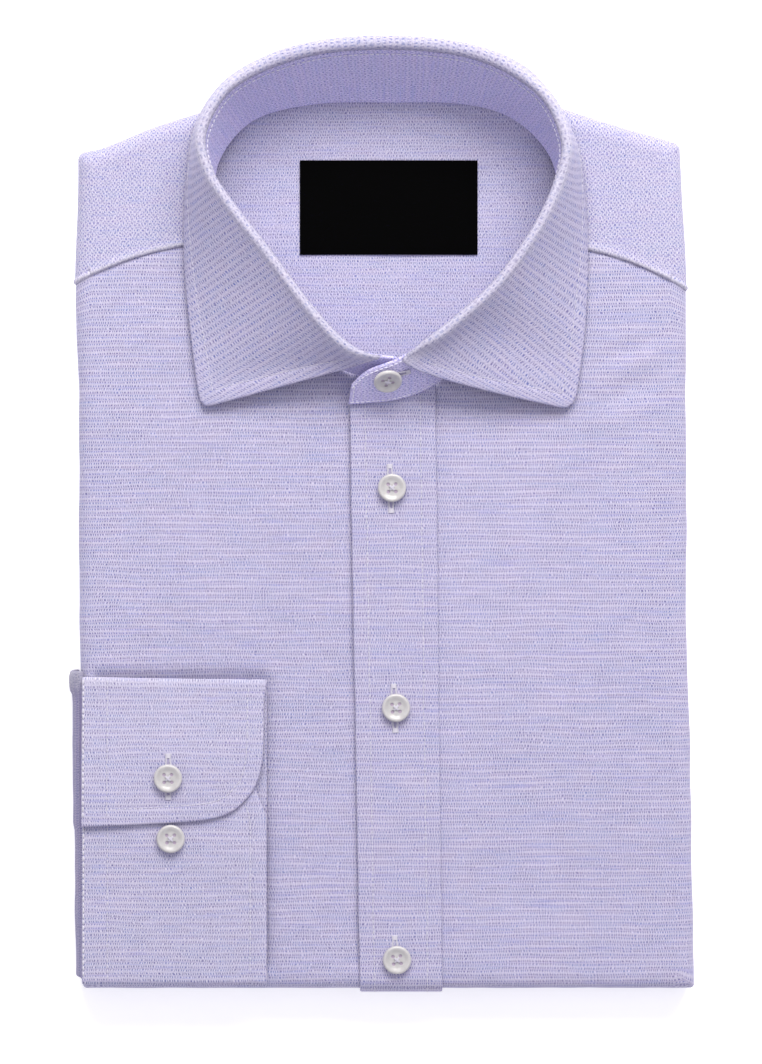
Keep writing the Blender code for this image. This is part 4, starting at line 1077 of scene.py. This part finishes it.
def makeLeaf():
    around, fallSteps = collar["leafSteps"]
    at = spaced(*around) * (len(collar["leaf"]) - 1)
    rows = curveThrough(collar["leaf"], at)
    base = bandPoint(rows[:, 0], np.ones(len(at))) + up * collar["gap"]
    out = bandOut(rows[:, 0])
    roll = fineTable(collar["roll"], 24)
    reach = arcLength(base, 0)
    # The roll is pressed flat at its ends and fuller behind the neck.
    full = blend(0.3, 1, smooth(np.minimum(reach, reach[-1] - reach) / 16))[:, None, None]
    behind = smooth((rows[:, 0] - 9.0) / 0.8) * smooth((13.0 - rows[:, 0]) / 0.8)
    wide = full * (1 + 0.5 * behind)[:, None, None]
    rolled = base[:, None] + wide * out[:, None] * roll[None, :, :1] + full * up * roll[None, :, 1:]
    start, half, edge = rolled[:, -1:], rows[:, None, 1:4], rows[:, None, 4:7]
    t = np.linspace(0, 1, 40)[1:, None]
    fall = start * (1 - t) * (1 - 2 * t) + half * 4 * t * (1 - t) + edge * t * (2 * t - 1)
    dense = np.concatenate([rolled, fall], axis=1)
    part, parts = collar["rolled"]
    fallen = spaced(*fallSteps)[4:]
    columns = blend(part / parts, 1, (fallen - fallen[0]) / (1 - fallen[0]))
    columns = np.concatenate([np.linspace(0, part, 16)[:-1] / parts, columns])
    middle = [readAlong(line, far, columns * far[-1]) for line, far in zip(dense, arcLength(dense, 1))]
    middle = np.array(middle)
    lengths, along = arcLength(middle, 1), arcLength(middle, 0)
    away = np.minimum(lengths[:, -1:] - lengths, np.minimum(along, along[-1:] - along))
    normal = unit(np.cross(np.gradient(middle, axis=1), np.gradient(middle, axis=0)))
    margin = collar["margin"]
    lift = 0.28 * smooth((margin - away) / 1.4) - groove(away, margin)
    lift = lift + 0.12 * ripple(middle[..., 0], middle[..., 1], 26, 6.1) * smooth(away / 8)
    middle = middle + normal * (lift * smooth((lengths - 8) / 6))[..., None]
    # Its turned points are blunt.
    for corner, inside in ((middle[0, -1], middle[14, -9]), (middle[-1, -1], middle[-15, -9])):
        near = smooth((3.4 - np.linalg.norm(middle - corner, axis=-1)) / 3.2)
        middle = middle + near[..., None] * 1.3 * unit(inside - corner)
    # Flat places: threads run straight, square to the roll, so they cross the slanting front edges.
    ref = np.clip(rows[:, 0], 5.2, 15.5)
    tangent = unit(bandPoint(ref + 0.6, np.ones(len(ref))) - bandPoint(ref - 0.6, np.ones(len(ref))))
    beside = np.einsum("ijk,ik->ij", middle - middle[:, :1], tangent)
    flat = stacked(np.sqrt(np.maximum(lengths**2 - beside**2, 0)), along[:, 6:7] + beside)
    piece, shell = closedShell(middle, flat, collar["leafThick"])
    # A painted highlight on the roll, weaker behind the neck; the white weft showing where it turns is part
    # of it.
    turned = (0.55 - 0.25 * behind[:, None]) * smooth((9 - lengths) / 5)
    restsOn = ["collarBand", "rightFront", "leftFront", "shoulderYoke"]
    makeCloth(piece, "collarLeaf", "collar_leaf", leafCanvas, 7, restsOn, opened=[turned, turned])

    def inFromEdge(row):
        return columnAt(shell, [row], margin, True)[0]

    # Topstitched down one front edge, along the outer edge and up the other.
    startRow, endRow = rowAt(shell, -8, margin), rowAt(shell, -8, margin, True)
    first = columnAt(shell, [3], 10)[0]
    path = [(rowAt(shell, c, margin), c) for c in np.linspace(first, inFromEdge(startRow), 30)]
    path += [(r, inFromEdge(r)) for r in np.arange(startRow + 1, endRow - 1)]
    path += [(rowAt(shell, c, margin, True), c) for c in np.linspace(inFromEdge(endRow), first, 30)]
    lines = Piece()
    stitchOn(lines, shell, *np.array(path).T, width=0.28, lift=0.02)
    lines.make("leafStitches", thread, 0)


makeBand()
makeLeaf()
print("collar made")


# Inner yoke and label

inner = {
    "height": 12.2,
    "crown": 1.2,
    "pastSeam": (5.5, 2.2),  # how far it runs on under the collar: at the front and sides, and at the back
    "label": (-32.6, 111.3, 38.8, 149.3),  # low x, y, high x, y
    "labelEdge": (0.1, 0.25, 0.5),
    "labelUp": 0.5,
    "labelThick": 0.6,
}


def innerHeight(x, y):
    away = np.hypot((x - neck["centre"][0]) / 60, (y - neck["centre"][1]) / 60)
    return inner["height"] + inner["crown"] * (1 - smooth(away))


def makeInnerYoke():
    angle = np.linspace(0, 2 * math.pi, 97)[:-1]
    share = np.linspace(0.01, 1, 40)[:, None]
    reach = share * (neckReach(angle) + blend(*inner["pastSeam"], behindNeck(angle)))
    x, y = neck["centre"][0] + reach * np.cos(angle), neck["centre"][1] + reach * np.sin(angle)
    z = innerHeight(x, y) + stack["wallHalf"] + 0.15 * ripple(x, y, 38, 3.7)
    atFoot = behindNeck(angle) * smooth((reach - neckReach(angle) + 1.7) / 1.5)
    z = blend(z, np.maximum(z, bodyTop(x, y) + 1.5), atFoot)
    piece = Piece()
    grid = piece.add(stacked(x, y, z), stacked(x, y))
    hub = piece.add(np.array([[[*neck["centre"], z[0, 0]]]]), np.array([[neck["centre"]]]))
    grid = np.vstack([np.full((1, len(angle)), hub[0, 0]), grid])
    piece.join(np.column_stack([grid, grid[:, :1]]), flip=True)
    makeCloth(piece, "innerYoke", "inner_yoke", innerCanvas, 8, ["folded_layers"], panel=True)


def makeLabel():
    lowX, lowY, highX, highY = inner["label"]
    y = blend(lowY, highY, spaced(highY - lowY, 1.6, inner["labelEdge"]))[:, None]
    x = blend(lowX, highX, spaced(highX - lowX, 1.6, inner["labelEdge"]))
    z = innerHeight(x, y) + stack["wallHalf"] + inner["labelUp"] + 0.12 * ripple(x, y, 30, 2.2)
    piece, _ = closedShell(stacked(x, y, z), stacked(x + 0 * y, y + 0 * x), inner["labelThick"], rounding=0.3)
    makeCloth(piece, "neckLabel", "neck_label", satin, 9, ["innerYoke"], held="laid", slot="label")


makeInnerYoke()
makeLabel()
print("inner yoke and label made")


# Cuff and sleeve

cuff = {
    "reach": (-119.4, -45.6),  # x at the sleeve and at the hem
    "wide": 73.8,
    "top": -57.8,
    "foot": -180.1,
    "fold": 1.125,  # radius of its two folds
    "levels": (21.05, 23.3, 25.1),  # of its lowest layer, its upper one, and the overlap
    "thick": 1.4,
    "underlap": -88.0,  # y of the hidden end under the overlap
    "stepUp": (-61.0, -93.0),  # y between which the overlap rises onto the upper layer
    "upperCorner": (34, -118, 18, 4.6),  # how wide, y it starts at, how long, how deep
    "raised": (0.7, -88, 22),  # of the overlap's corner: how far, x and y it starts at, how long
    "sag": (0.8, 1.9),  # of its top edge towards the foot, at the sleeve and at the hem
    "end": [  # x, y round the overlap's free end
        (-119.4, -117.6), (-106, -117.1), (-92, -116.5), (-80, -115.8), (-72.2, -115.2), (-64.2, -113.6),
        (-58.2, -110.8), (-53.4, -106.2), (-50.2, -101.7), (-48.2, -96.2), (-47.1, -89.5), (-46.7, -81.0),
    ],
    "stitchIn": 6.6,
    "seamIn": 10.2,
}
sleeve = {
    "reach": [
        (-55.7, 123.6), (-58.2, 124.5), (-63.5, 124.3), (-70, 123.1), (-115, 122.9), (-120, 122.3),
        (-160, 121.9), (-178.5, 121.6),
    ],
    "path": [  # inward, height
        (4.6, 21.7), (3.1, 20.4), (1.4, 17.6), (0.4, 14.0), (0, 10.5), (0, 6), (0.4, 3.4), (1.5, 1.9),
    ],
    "thick": 2.1,
    "steps": (122.8, 1.6),  # length and step of points along it
    "waver": (0.22, 24, 1.2),  # of its edge: how far, size, seed
    "opened": (0.85, -66.5, 7),  # painted highlight on its upper end, which rolls over towards the light: how much, y from which, run
}


def makeCuff():
    lowest, upper, overlap = cuff["levels"]
    low, high = cuff["foot"] + cuff["fold"], cuff["top"] - cuff["fold"]
    s = spaced(cuff["wide"], 1.4)
    straight = blend(cuff["reach"][1], cuff["reach"][0], s)
    end = curveThrough(cuff["end"], (1 - np.sqrt(s)) * (len(cuff["end"]) - 1))

    def turn(place, way, climb):
        swing = np.radians(np.linspace(0, 180, 11))[1:-1]
        y = place + way * cuff["fold"] * (1 - np.sin(swing))
        return stacked(y, lowest + cuff["fold"] - climb * cuff["fold"] * np.cos(swing))

    first = np.concatenate([[0, *edgeSteps], np.arange(2.5, cuff["underlap"] - low, 1.7)])
    line = np.vstack([
        stacked(cuff["underlap"] - first, upper), turn(cuff["foot"], 1, -1),
        stacked(np.linspace(low, high, 72), lowest), turn(cuff["top"], -1, 1),
    ])
    points = stacked(straight, line[:, :1], line[:, 1:])
    # The upper layer's corner, under the overlap's curve, is rounded off too.
    cornerWide, cornerY, cornerLong, cornerDeep = cuff["upperCorner"]
    onUpper = (np.arange(len(line)) < len(first))[:, None]
    onUpper = onUpper * smooth((cornerWide - s * cuff["wide"]) / cornerWide)
    points[..., 0] -= onUpper * cornerDeep * smooth((line[:, :1] - cornerY) / cornerLong) ** 1.3
    t = np.concatenate([np.linspace(0, 1, 60)[1:-1], [0.985, 0.991, 0.9955, 0.9985, 1.0]])[:, None]
    x = blend(straight, end[:, 0], np.minimum(t * 3, 1))
    y = blend(high, end[:, 1], t)
    risen = smooth((y - cuff["stepUp"][0]) / (cuff["stepUp"][1] - cuff["stepUp"][0]))
    tall, start, run = cuff["raised"]
    raised = tall * smooth((start - x) / run) * smooth((start - y) / run)
    middle = np.concatenate([points, stacked(x, y, blend(upper, overlap, risen) + raised)])
    far, across = arcLength(middle, 0), arcLength(middle, 1)
    normal = unit(np.cross(np.gradient(middle, axis=1), np.gradient(middle, axis=0)))
    edge = np.minimum(np.minimum(across, across[:, -1:] - across), far)
    onTop = slice(len(line), None)
    outline = np.vstack([middle[len(line) - 4 : -1, 0, :2], middle[-1, :, :2]])
    toOutline = distanceToLine(middle[onTop, :, :2], outline)
    edge[onTop] = np.minimum(toOutline, across[onTop, -1:] - across[onTop])
    away = across.copy()
    away[onTop] = toOutline
    lift = -groove(away, cuff["stitchIn"]) + 0.14 * smooth((cuff["stitchIn"] - away) / 1.5)
    lift = lift - groove(across[:, -1:] - across, cuff["seamIn"], 0.12, 0.7)
    lift = lift + 0.14 * ripple(middle[..., 0], middle[..., 1] + far * 0.1, 30, 7.7)
    middle = middle + normal * (lift * smooth(away))[..., None]
    threads = -far[:, 20:21] + 0 * far
    threads[onTop] = threads[len(line) - 1] + middle[onTop, :, 1] - high
    flat = stacked(middle[..., 0], threads)
    sag = blend(*cuff["sag"], (middle[..., 0] - cuff["reach"][0]) / cuff["wide"])
    middle[..., 1] -= smooth((middle[..., 1] + 95) / 38) * sag
    piece, shell = closedShell(middle, flat, cuff["thick"], edge=edge)
    # A painted highlight along the top fold of the upper layers; the white weft showing at the fold is part
    # of it.
    turned = groove(middle[..., 1], cuff["top"] - 1.2, 0.6, 1.5) * (middle[..., 2] > overlap - 2.2)
    makeCloth(piece, "rightCuff", "right_cuff", cuffCanvas, 10, ["rightFront"], opened=[turned, turned])
    lines = Piece()
    for rows in (np.arange(6, len(first)), np.arange(len(line) - 2, len(middle) - 6)):
        stitchOn(lines, shell, rows, columnAt(shell, rows, cuff["seamIn"], True))
        overEdge = {"pitch": 2.3, "length": 1.85, "width": 0.75, "lift": 0.08}
        stitchOn(lines, shell, rows, columnAt(shell, rows, 0.7, True), **overEdge)
    rows = np.arange(6, len(first) - 1)
    stitchOn(lines, shell, rows, columnAt(shell, rows, cuff["stitchIn"]))
    # Round the overlap's free end, a line that keeps its distance from the outline.
    along = unit(np.gradient(outline, axis=0))
    path = outline + stacked(along[:, 1], -along[:, 0]) * cuff["stitchIn"]
    keep = distanceToLine(path, outline) > cuff["stitchIn"] - 0.05
    path = path[keep & (path[:, 0] > cuff["reach"][0] + cuff["seamIn"]) & (path[:, 1] < high - 3)]
    surface = shell["above"][onTop].reshape(-1, 3)
    nearest = [np.argmin(np.sum((surface[:, :2] - place) ** 2, axis=1)) for place in path]
    path = np.column_stack([path, surface[nearest, 2]])
    stitchLine(lines, path, up + 0 * path)
    lines.make("cuffStitches", thread, 0)


def makeSleeve():
    top, foot = sleeve["reach"][0][0], sleeve["reach"][-1][0]
    y = blend(top, foot, spaced(*sleeve["steps"]))[:, None]
    table = fineTable(sleeve["reach"])
    order = np.argsort(table[:, 0])
    far, size, seed = sleeve["waver"]
    reach = np.interp(y, table[order, 0], table[order, 1]) + far * ripple(y, 0 * y, size, seed)
    shares = fineTable(sleeve["path"], 40)
    fromCuff = smooth(1 - np.arange(40) / 9)
    x = blend(shares[:, 0] - reach, cuff["reach"][0] - 0.2, fromCuff)
    z = shares[:, 1] + 0 * x
    x = x + 0.15 * ripple(y + 0 * x, z * 2, 13, 5.5) * (1 - fromCuff)
    middle = stacked(x, y, z)
    piece, _ = closedShell(middle, stacked(y, -arcLength(middle, 1)), sleeve["thick"], rounding=0.9)
    # A painted highlight on the sleeve's upper end, where it rolls over towards the light.
    share, start, run = sleeve["opened"]
    opened = share * smooth((y - start) / run) + 0 * x
    restsOn = ["foldedLayers", "rightFront"]
    makeCloth(piece, "rightSleeve", "right_sleeve", sleeveCanvas, 11, restsOn, opened=[opened, opened])


makeCuff()
makeSleeve()
print("cuff and sleeve made")


# Buttons and buttonholes

button = {
    "profile": [  # radius, height
        (0.001, 1.96), (1.3, 1.96), (2.5, 2.0), (3.2, 2.12), (3.8, 2.36), (4.4, 2.6), (4.9, 2.7), (5.35, 2.5),
        (5.62, 2.05), (5.62, 1.5), (5.3, 0.95), (4.6, 0.45), (3.6, 0.12), (2.2, 0.0), (0.001, 0.0),
    ],
    "hole": 0.72,
    "holeOut": 1.5,
    "gap": 0.3,  # its back to the cloth
    "sewnAt": 2.08,  # height of the threads over it, and of what shows in its holes
    "shadeAt": 1.66,
    "placket": [(4.4, 17.6, 9.8), (6.0, -70.2, 9.8), (6.4, -170.8, 3.5)],  # x, y, its buttonhole's reach down
    "slant": (0.9, -23.5, 0),  # way down the placket
    "cuff": [(-84.8, -98.1), (-83.8, -122.3)],
    "collarRow": 1.65,
    "collarUp": 0.66,
    "over": (3.0, 0.42),  # length and width of a thread: over a button
    "under": (2.6, 0.5),  # wound under it, and in a tack
    "rail": (0.75, 0.42),  # along a buttonhole
    "railPitch": 0.34,
    "tackPitch": 0.36,
}


def turnedForm():
    # The button's solid: turned, and drilled with four holes.
    profile = fineTable(button["profile"], 57)
    angle = np.linspace(0, 2 * math.pi, 65)[:-1]
    piece = Piece()
    points = stacked(profile[:, :1] * np.cos(angle), profile[:, :1] * np.sin(angle), profile[:, 1:])
    ring = piece.add(points, np.zeros((*points.shape[:-1], 2)))
    piece.join(np.column_stack([ring, ring[:, :1]]))
    mesh = bpy.data.meshes.new("turned")
    mesh.from_pydata((np.vstack(piece.points) * mm).tolist(), [], piece.faces)
    form = bmesh.new()
    form.from_mesh(mesh)
    bmesh.ops.remove_doubles(form, verts=form.verts, dist=0.000004)
    bmesh.ops.recalc_face_normals(form, faces=form.faces)
    form.to_mesh(mesh)
    form.clear()
    for x in (-button["holeOut"], button["holeOut"]):
        for y in (-button["holeOut"], button["holeOut"]):
            place, size = Matrix.Translation(Vector((x, y, 1)) * mm), button["hole"] * mm
            drill = {"segments": 24, "radius1": size, "radius2": size, "depth": 8 * mm, "matrix": place}
            bmesh.ops.create_cone(form, cap_ends=True, **drill)
    drills = bpy.data.meshes.new("drills")
    form.to_mesh(drills)
    form.free()
    body, drill = placed("turned", mesh), placed("drills", drills)
    cut = body.modifiers.new("Holes", "BOOLEAN")
    cut.operation, cut.solver, cut.object = "DIFFERENCE", "EXACT", drill
    made = bpy.data.meshes.new_from_object(body.evaluated_get(bpy.context.evaluated_depsgraph_get()))
    for thing in (body, drill):
        bpy.data.objects.remove(thing)
    made.shade_smooth()
    made.set_sharp_from_angle(angle=math.radians(35))
    return made


buttonForm = turnedForm()


def placeButton(name, node, seat, out, along, turn):
    # seat is on the cloth's face; along is level across the button.
    out, along = unit(np.array(out, float)), np.array(along, float)
    along = unit(along - out * np.dot(along, out))
    beside = np.cross(out, along)
    cos, sin = math.cos(turn), math.sin(turn)
    along, beside = along * cos + beside * sin, beside * cos - along * sin
    back = np.array(seat) + out * button["gap"]
    made = placed(name, buttonForm.copy())
    turned = Matrix(np.stack([along, beside, out], 1)).to_4x4()
    made.matrix_world = Matrix.Translation(Vector(back) * mm) @ turned
    made.data.materials.append(pearl)
    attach(made, "root")
    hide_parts(node)
    # Its sewing: two crossed pairs of threads over the middle, and a wound shank under it.
    sewing = Piece()
    top = back + out * button["sewnAt"]
    for way, higher in ((1, 0.0), (-1, 0.22)):
        line = unit(along + beside * way)
        for off in (-0.2, 0.2):
            place = top + out * higher + np.cross(out, line) * off
            capsules(sewing, place, line, out, *button["over"], arch=0.25)
    turns = np.linspace(0, 2 * math.pi, 13)[:, None]
    centre = back + out * button["shadeAt"]
    rim = centre + (along * np.cos(turns) + beside * np.sin(turns)) * 3.0
    inHoles = Piece()
    inHoles.join(inHoles.add(np.array([rim, 0 * rim + centre]), np.zeros((2, 13, 2))), flip=True)
    inHoles.make(name + "Holes", holeShade, 0)
    for k in range(5):
        line = along * math.cos(k * 1.3) + beside * math.sin(k * 1.3)
        capsules(sewing, back - out * (button["gap"] - 0.12 * k), line, out, *button["under"])
    sewing.make(name + "Sewing", thread, 0)


def buttonhole(piece, slits, centre, along, out, back, ahead):
    # Two rails of close stitches with a tack at each end, from behind the centre to ahead of it.
    along, out = unit(np.array(along, float)), unit(np.array(out, float))
    beside = np.cross(out, along)
    at = np.arange(-back, ahead, button["railPitch"])
    bow = 0.45 + 0.75 * np.clip(1 - (at / max(back, ahead)) ** 2, 0, 1)
    for way in (-1, 1):
        wander = 0.06 * np.sin(at * 5 + way)
        centres = centre + along * at[:, None] + beside * (way * bow + wander)[:, None] + out * 0.14
        capsules(piece, centres, beside + along * 0.25 * way, out, *button["rail"], arch=0.12)
    long, wide = button["under"]
    for end, way in ((-back, -1), (ahead, 1)):
        for k in range(5):
            place = centre + along * (end - way * k * button["tackPitch"]) + out * 0.2
            capsules(piece, place, beside, out, long - 0.1 * k, wide, arch=0.12)
    # A sheet between the rails, coloured darker as painted shade in the slit.
    sides = [centre + along * at[:, None] + beside * (way * bow)[:, None] + out * 0.09 for way in (-1, 1)]
    slits.join(slits.add(np.array(sides), np.zeros((2, len(at), 2))))


def makeButtons():
    holes, slits = Piece(), Piece()
    level = (1, 0, 0)
    row, height = np.array([button["collarRow"]]), np.array([button["collarUp"]])
    along = (bandPoint(row + 0.05, height) - bandPoint(row - 0.05, height))[0]
    rise = (bandPoint(row, 0 * height + 1) - bandPoint(row, 0 * height))[0]
    out = unit(np.cross(along, rise))
    seat = bandPoint(row, height)[0] + out * (collar["bandThick"] / 2 + 0.5)
    placeButton("collarButton", "collar_button", seat, out, along, 0.2)
    buttonhole(holes, slits, seat - out * 0.25, along, out, 5.0, 9.4)
    face = stack["height"] + placket["lift"]
    for k, (x, y, down) in enumerate(button["placket"], 1):
        placeButton(f"placketButton{k}", f"placket_button_{k}", (x, y, face), up, level, 0.03 * k)
        buttonhole(holes, slits, np.array([x - 0.6, y, face - 0.06]), button["slant"], up, 9.4, down)
    for k, ((x, y), layerZ) in enumerate(zip(button["cuff"], cuff["levels"][:0:-1]), 1):
        seatZ = layerZ + cuff["thick"] / 2 + 0.05
        placeButton(f"cuffButton{k}", f"cuff_button_{k}", (x, y, seatZ), up, level, 0.02)
        if k == 1:
            buttonhole(holes, slits, np.array([x, y, seatZ]), (0, -1, 0), up, 9.6, 8.4)
    holes.make("buttonholes", thread, 0)
    slits.make("buttonholeSlits", slitShade, 0)


makeButtons()
print("buttons made")


# Finish: floor, light, camera

look = {
    "distance": 1500,  # from the camera to the plane in which the frame is frameLong
    "plane": 20,
    "frameLong": 425.6,
    "sensor": 36,
    "floor": 3.0,  # half its width, in metres
    "sky": (0.93, 0.91, 1.0, 1),
    "skyLight": 0.6,
    "lights": [  # name, place and size in metres, watts, colour
        ("windowLight", (0.2, 1.3, 1.2), (1.5, 0.8), 38, (1.0, 0.98, 0.9)),
        ("overhead", (0.0, 0.1, 2.3), (1.8, 1.8), 6, (1, 1, 1)),
    ],
}


def makeStage():
    form = bmesh.new()
    bmesh.ops.create_grid(form, x_segments=1, y_segments=1, size=look["floor"])
    mesh = bpy.data.meshes.new("floor")
    form.to_mesh(mesh)
    form.free()
    # Opal acrylic over a light table: white, matt, and glowing faintly so that shadows stay pale.
    material, tree, shader = newMaterial("opalAcrylic", {
        "Roughness": 0.95, "Specular IOR Level": 0.0,
        "Emission Color": (1.0, 1.0, 1.0, 1), "Emission Strength": 0.37,
    })
    grain = add(tree, "TexNoise", {"Scale": 300.0, "Detail": 2.0})
    low, high = fromHex("#FAFAFA", 1), fromHex("#FFFFFF", 1)
    colour = add(tree, "Mix", {0: grain, 6: low, 7: high}, out=2, data_type="RGBA")
    tree.links.new(colour, shader.inputs["Base Color"])
    mesh.materials.append(material)
    placed("floor", mesh)


def makeLight():
    world = bpy.data.worlds.new("studio")
    world.use_nodes = True
    world.node_tree.nodes["Background"].inputs["Color"].default_value = look["sky"]
    world.node_tree.nodes["Background"].inputs["Strength"].default_value = look["skyLight"]
    bpy.context.scene.world = world
    for name, place, size, energy, colour in look["lights"]:
        light = bpy.data.lights.new(name, "AREA")
        light.shape = "RECTANGLE"
        light.size, light.size_y = size
        light.energy = energy
        light.color = colour
        holder = placed(name, light)
        holder.location = place
        holder.rotation_euler = (-Vector(place)).to_track_quat("-Z", "Y").to_euler()
    bpy.context.scene.view_settings.view_transform = "Standard"


def makeCamera():
    camera = bpy.data.cameras.new("camera")
    camera.lens = look["sensor"] * look["distance"] / look["frameLong"]
    camera.sensor_width = look["sensor"]
    holder = placed("camera", camera)
    holder.location = (0, 0, (look["distance"] + look["plane"]) * mm)
    bpy.context.scene.camera = holder


makeStage()
makeLight()
makeCamera()
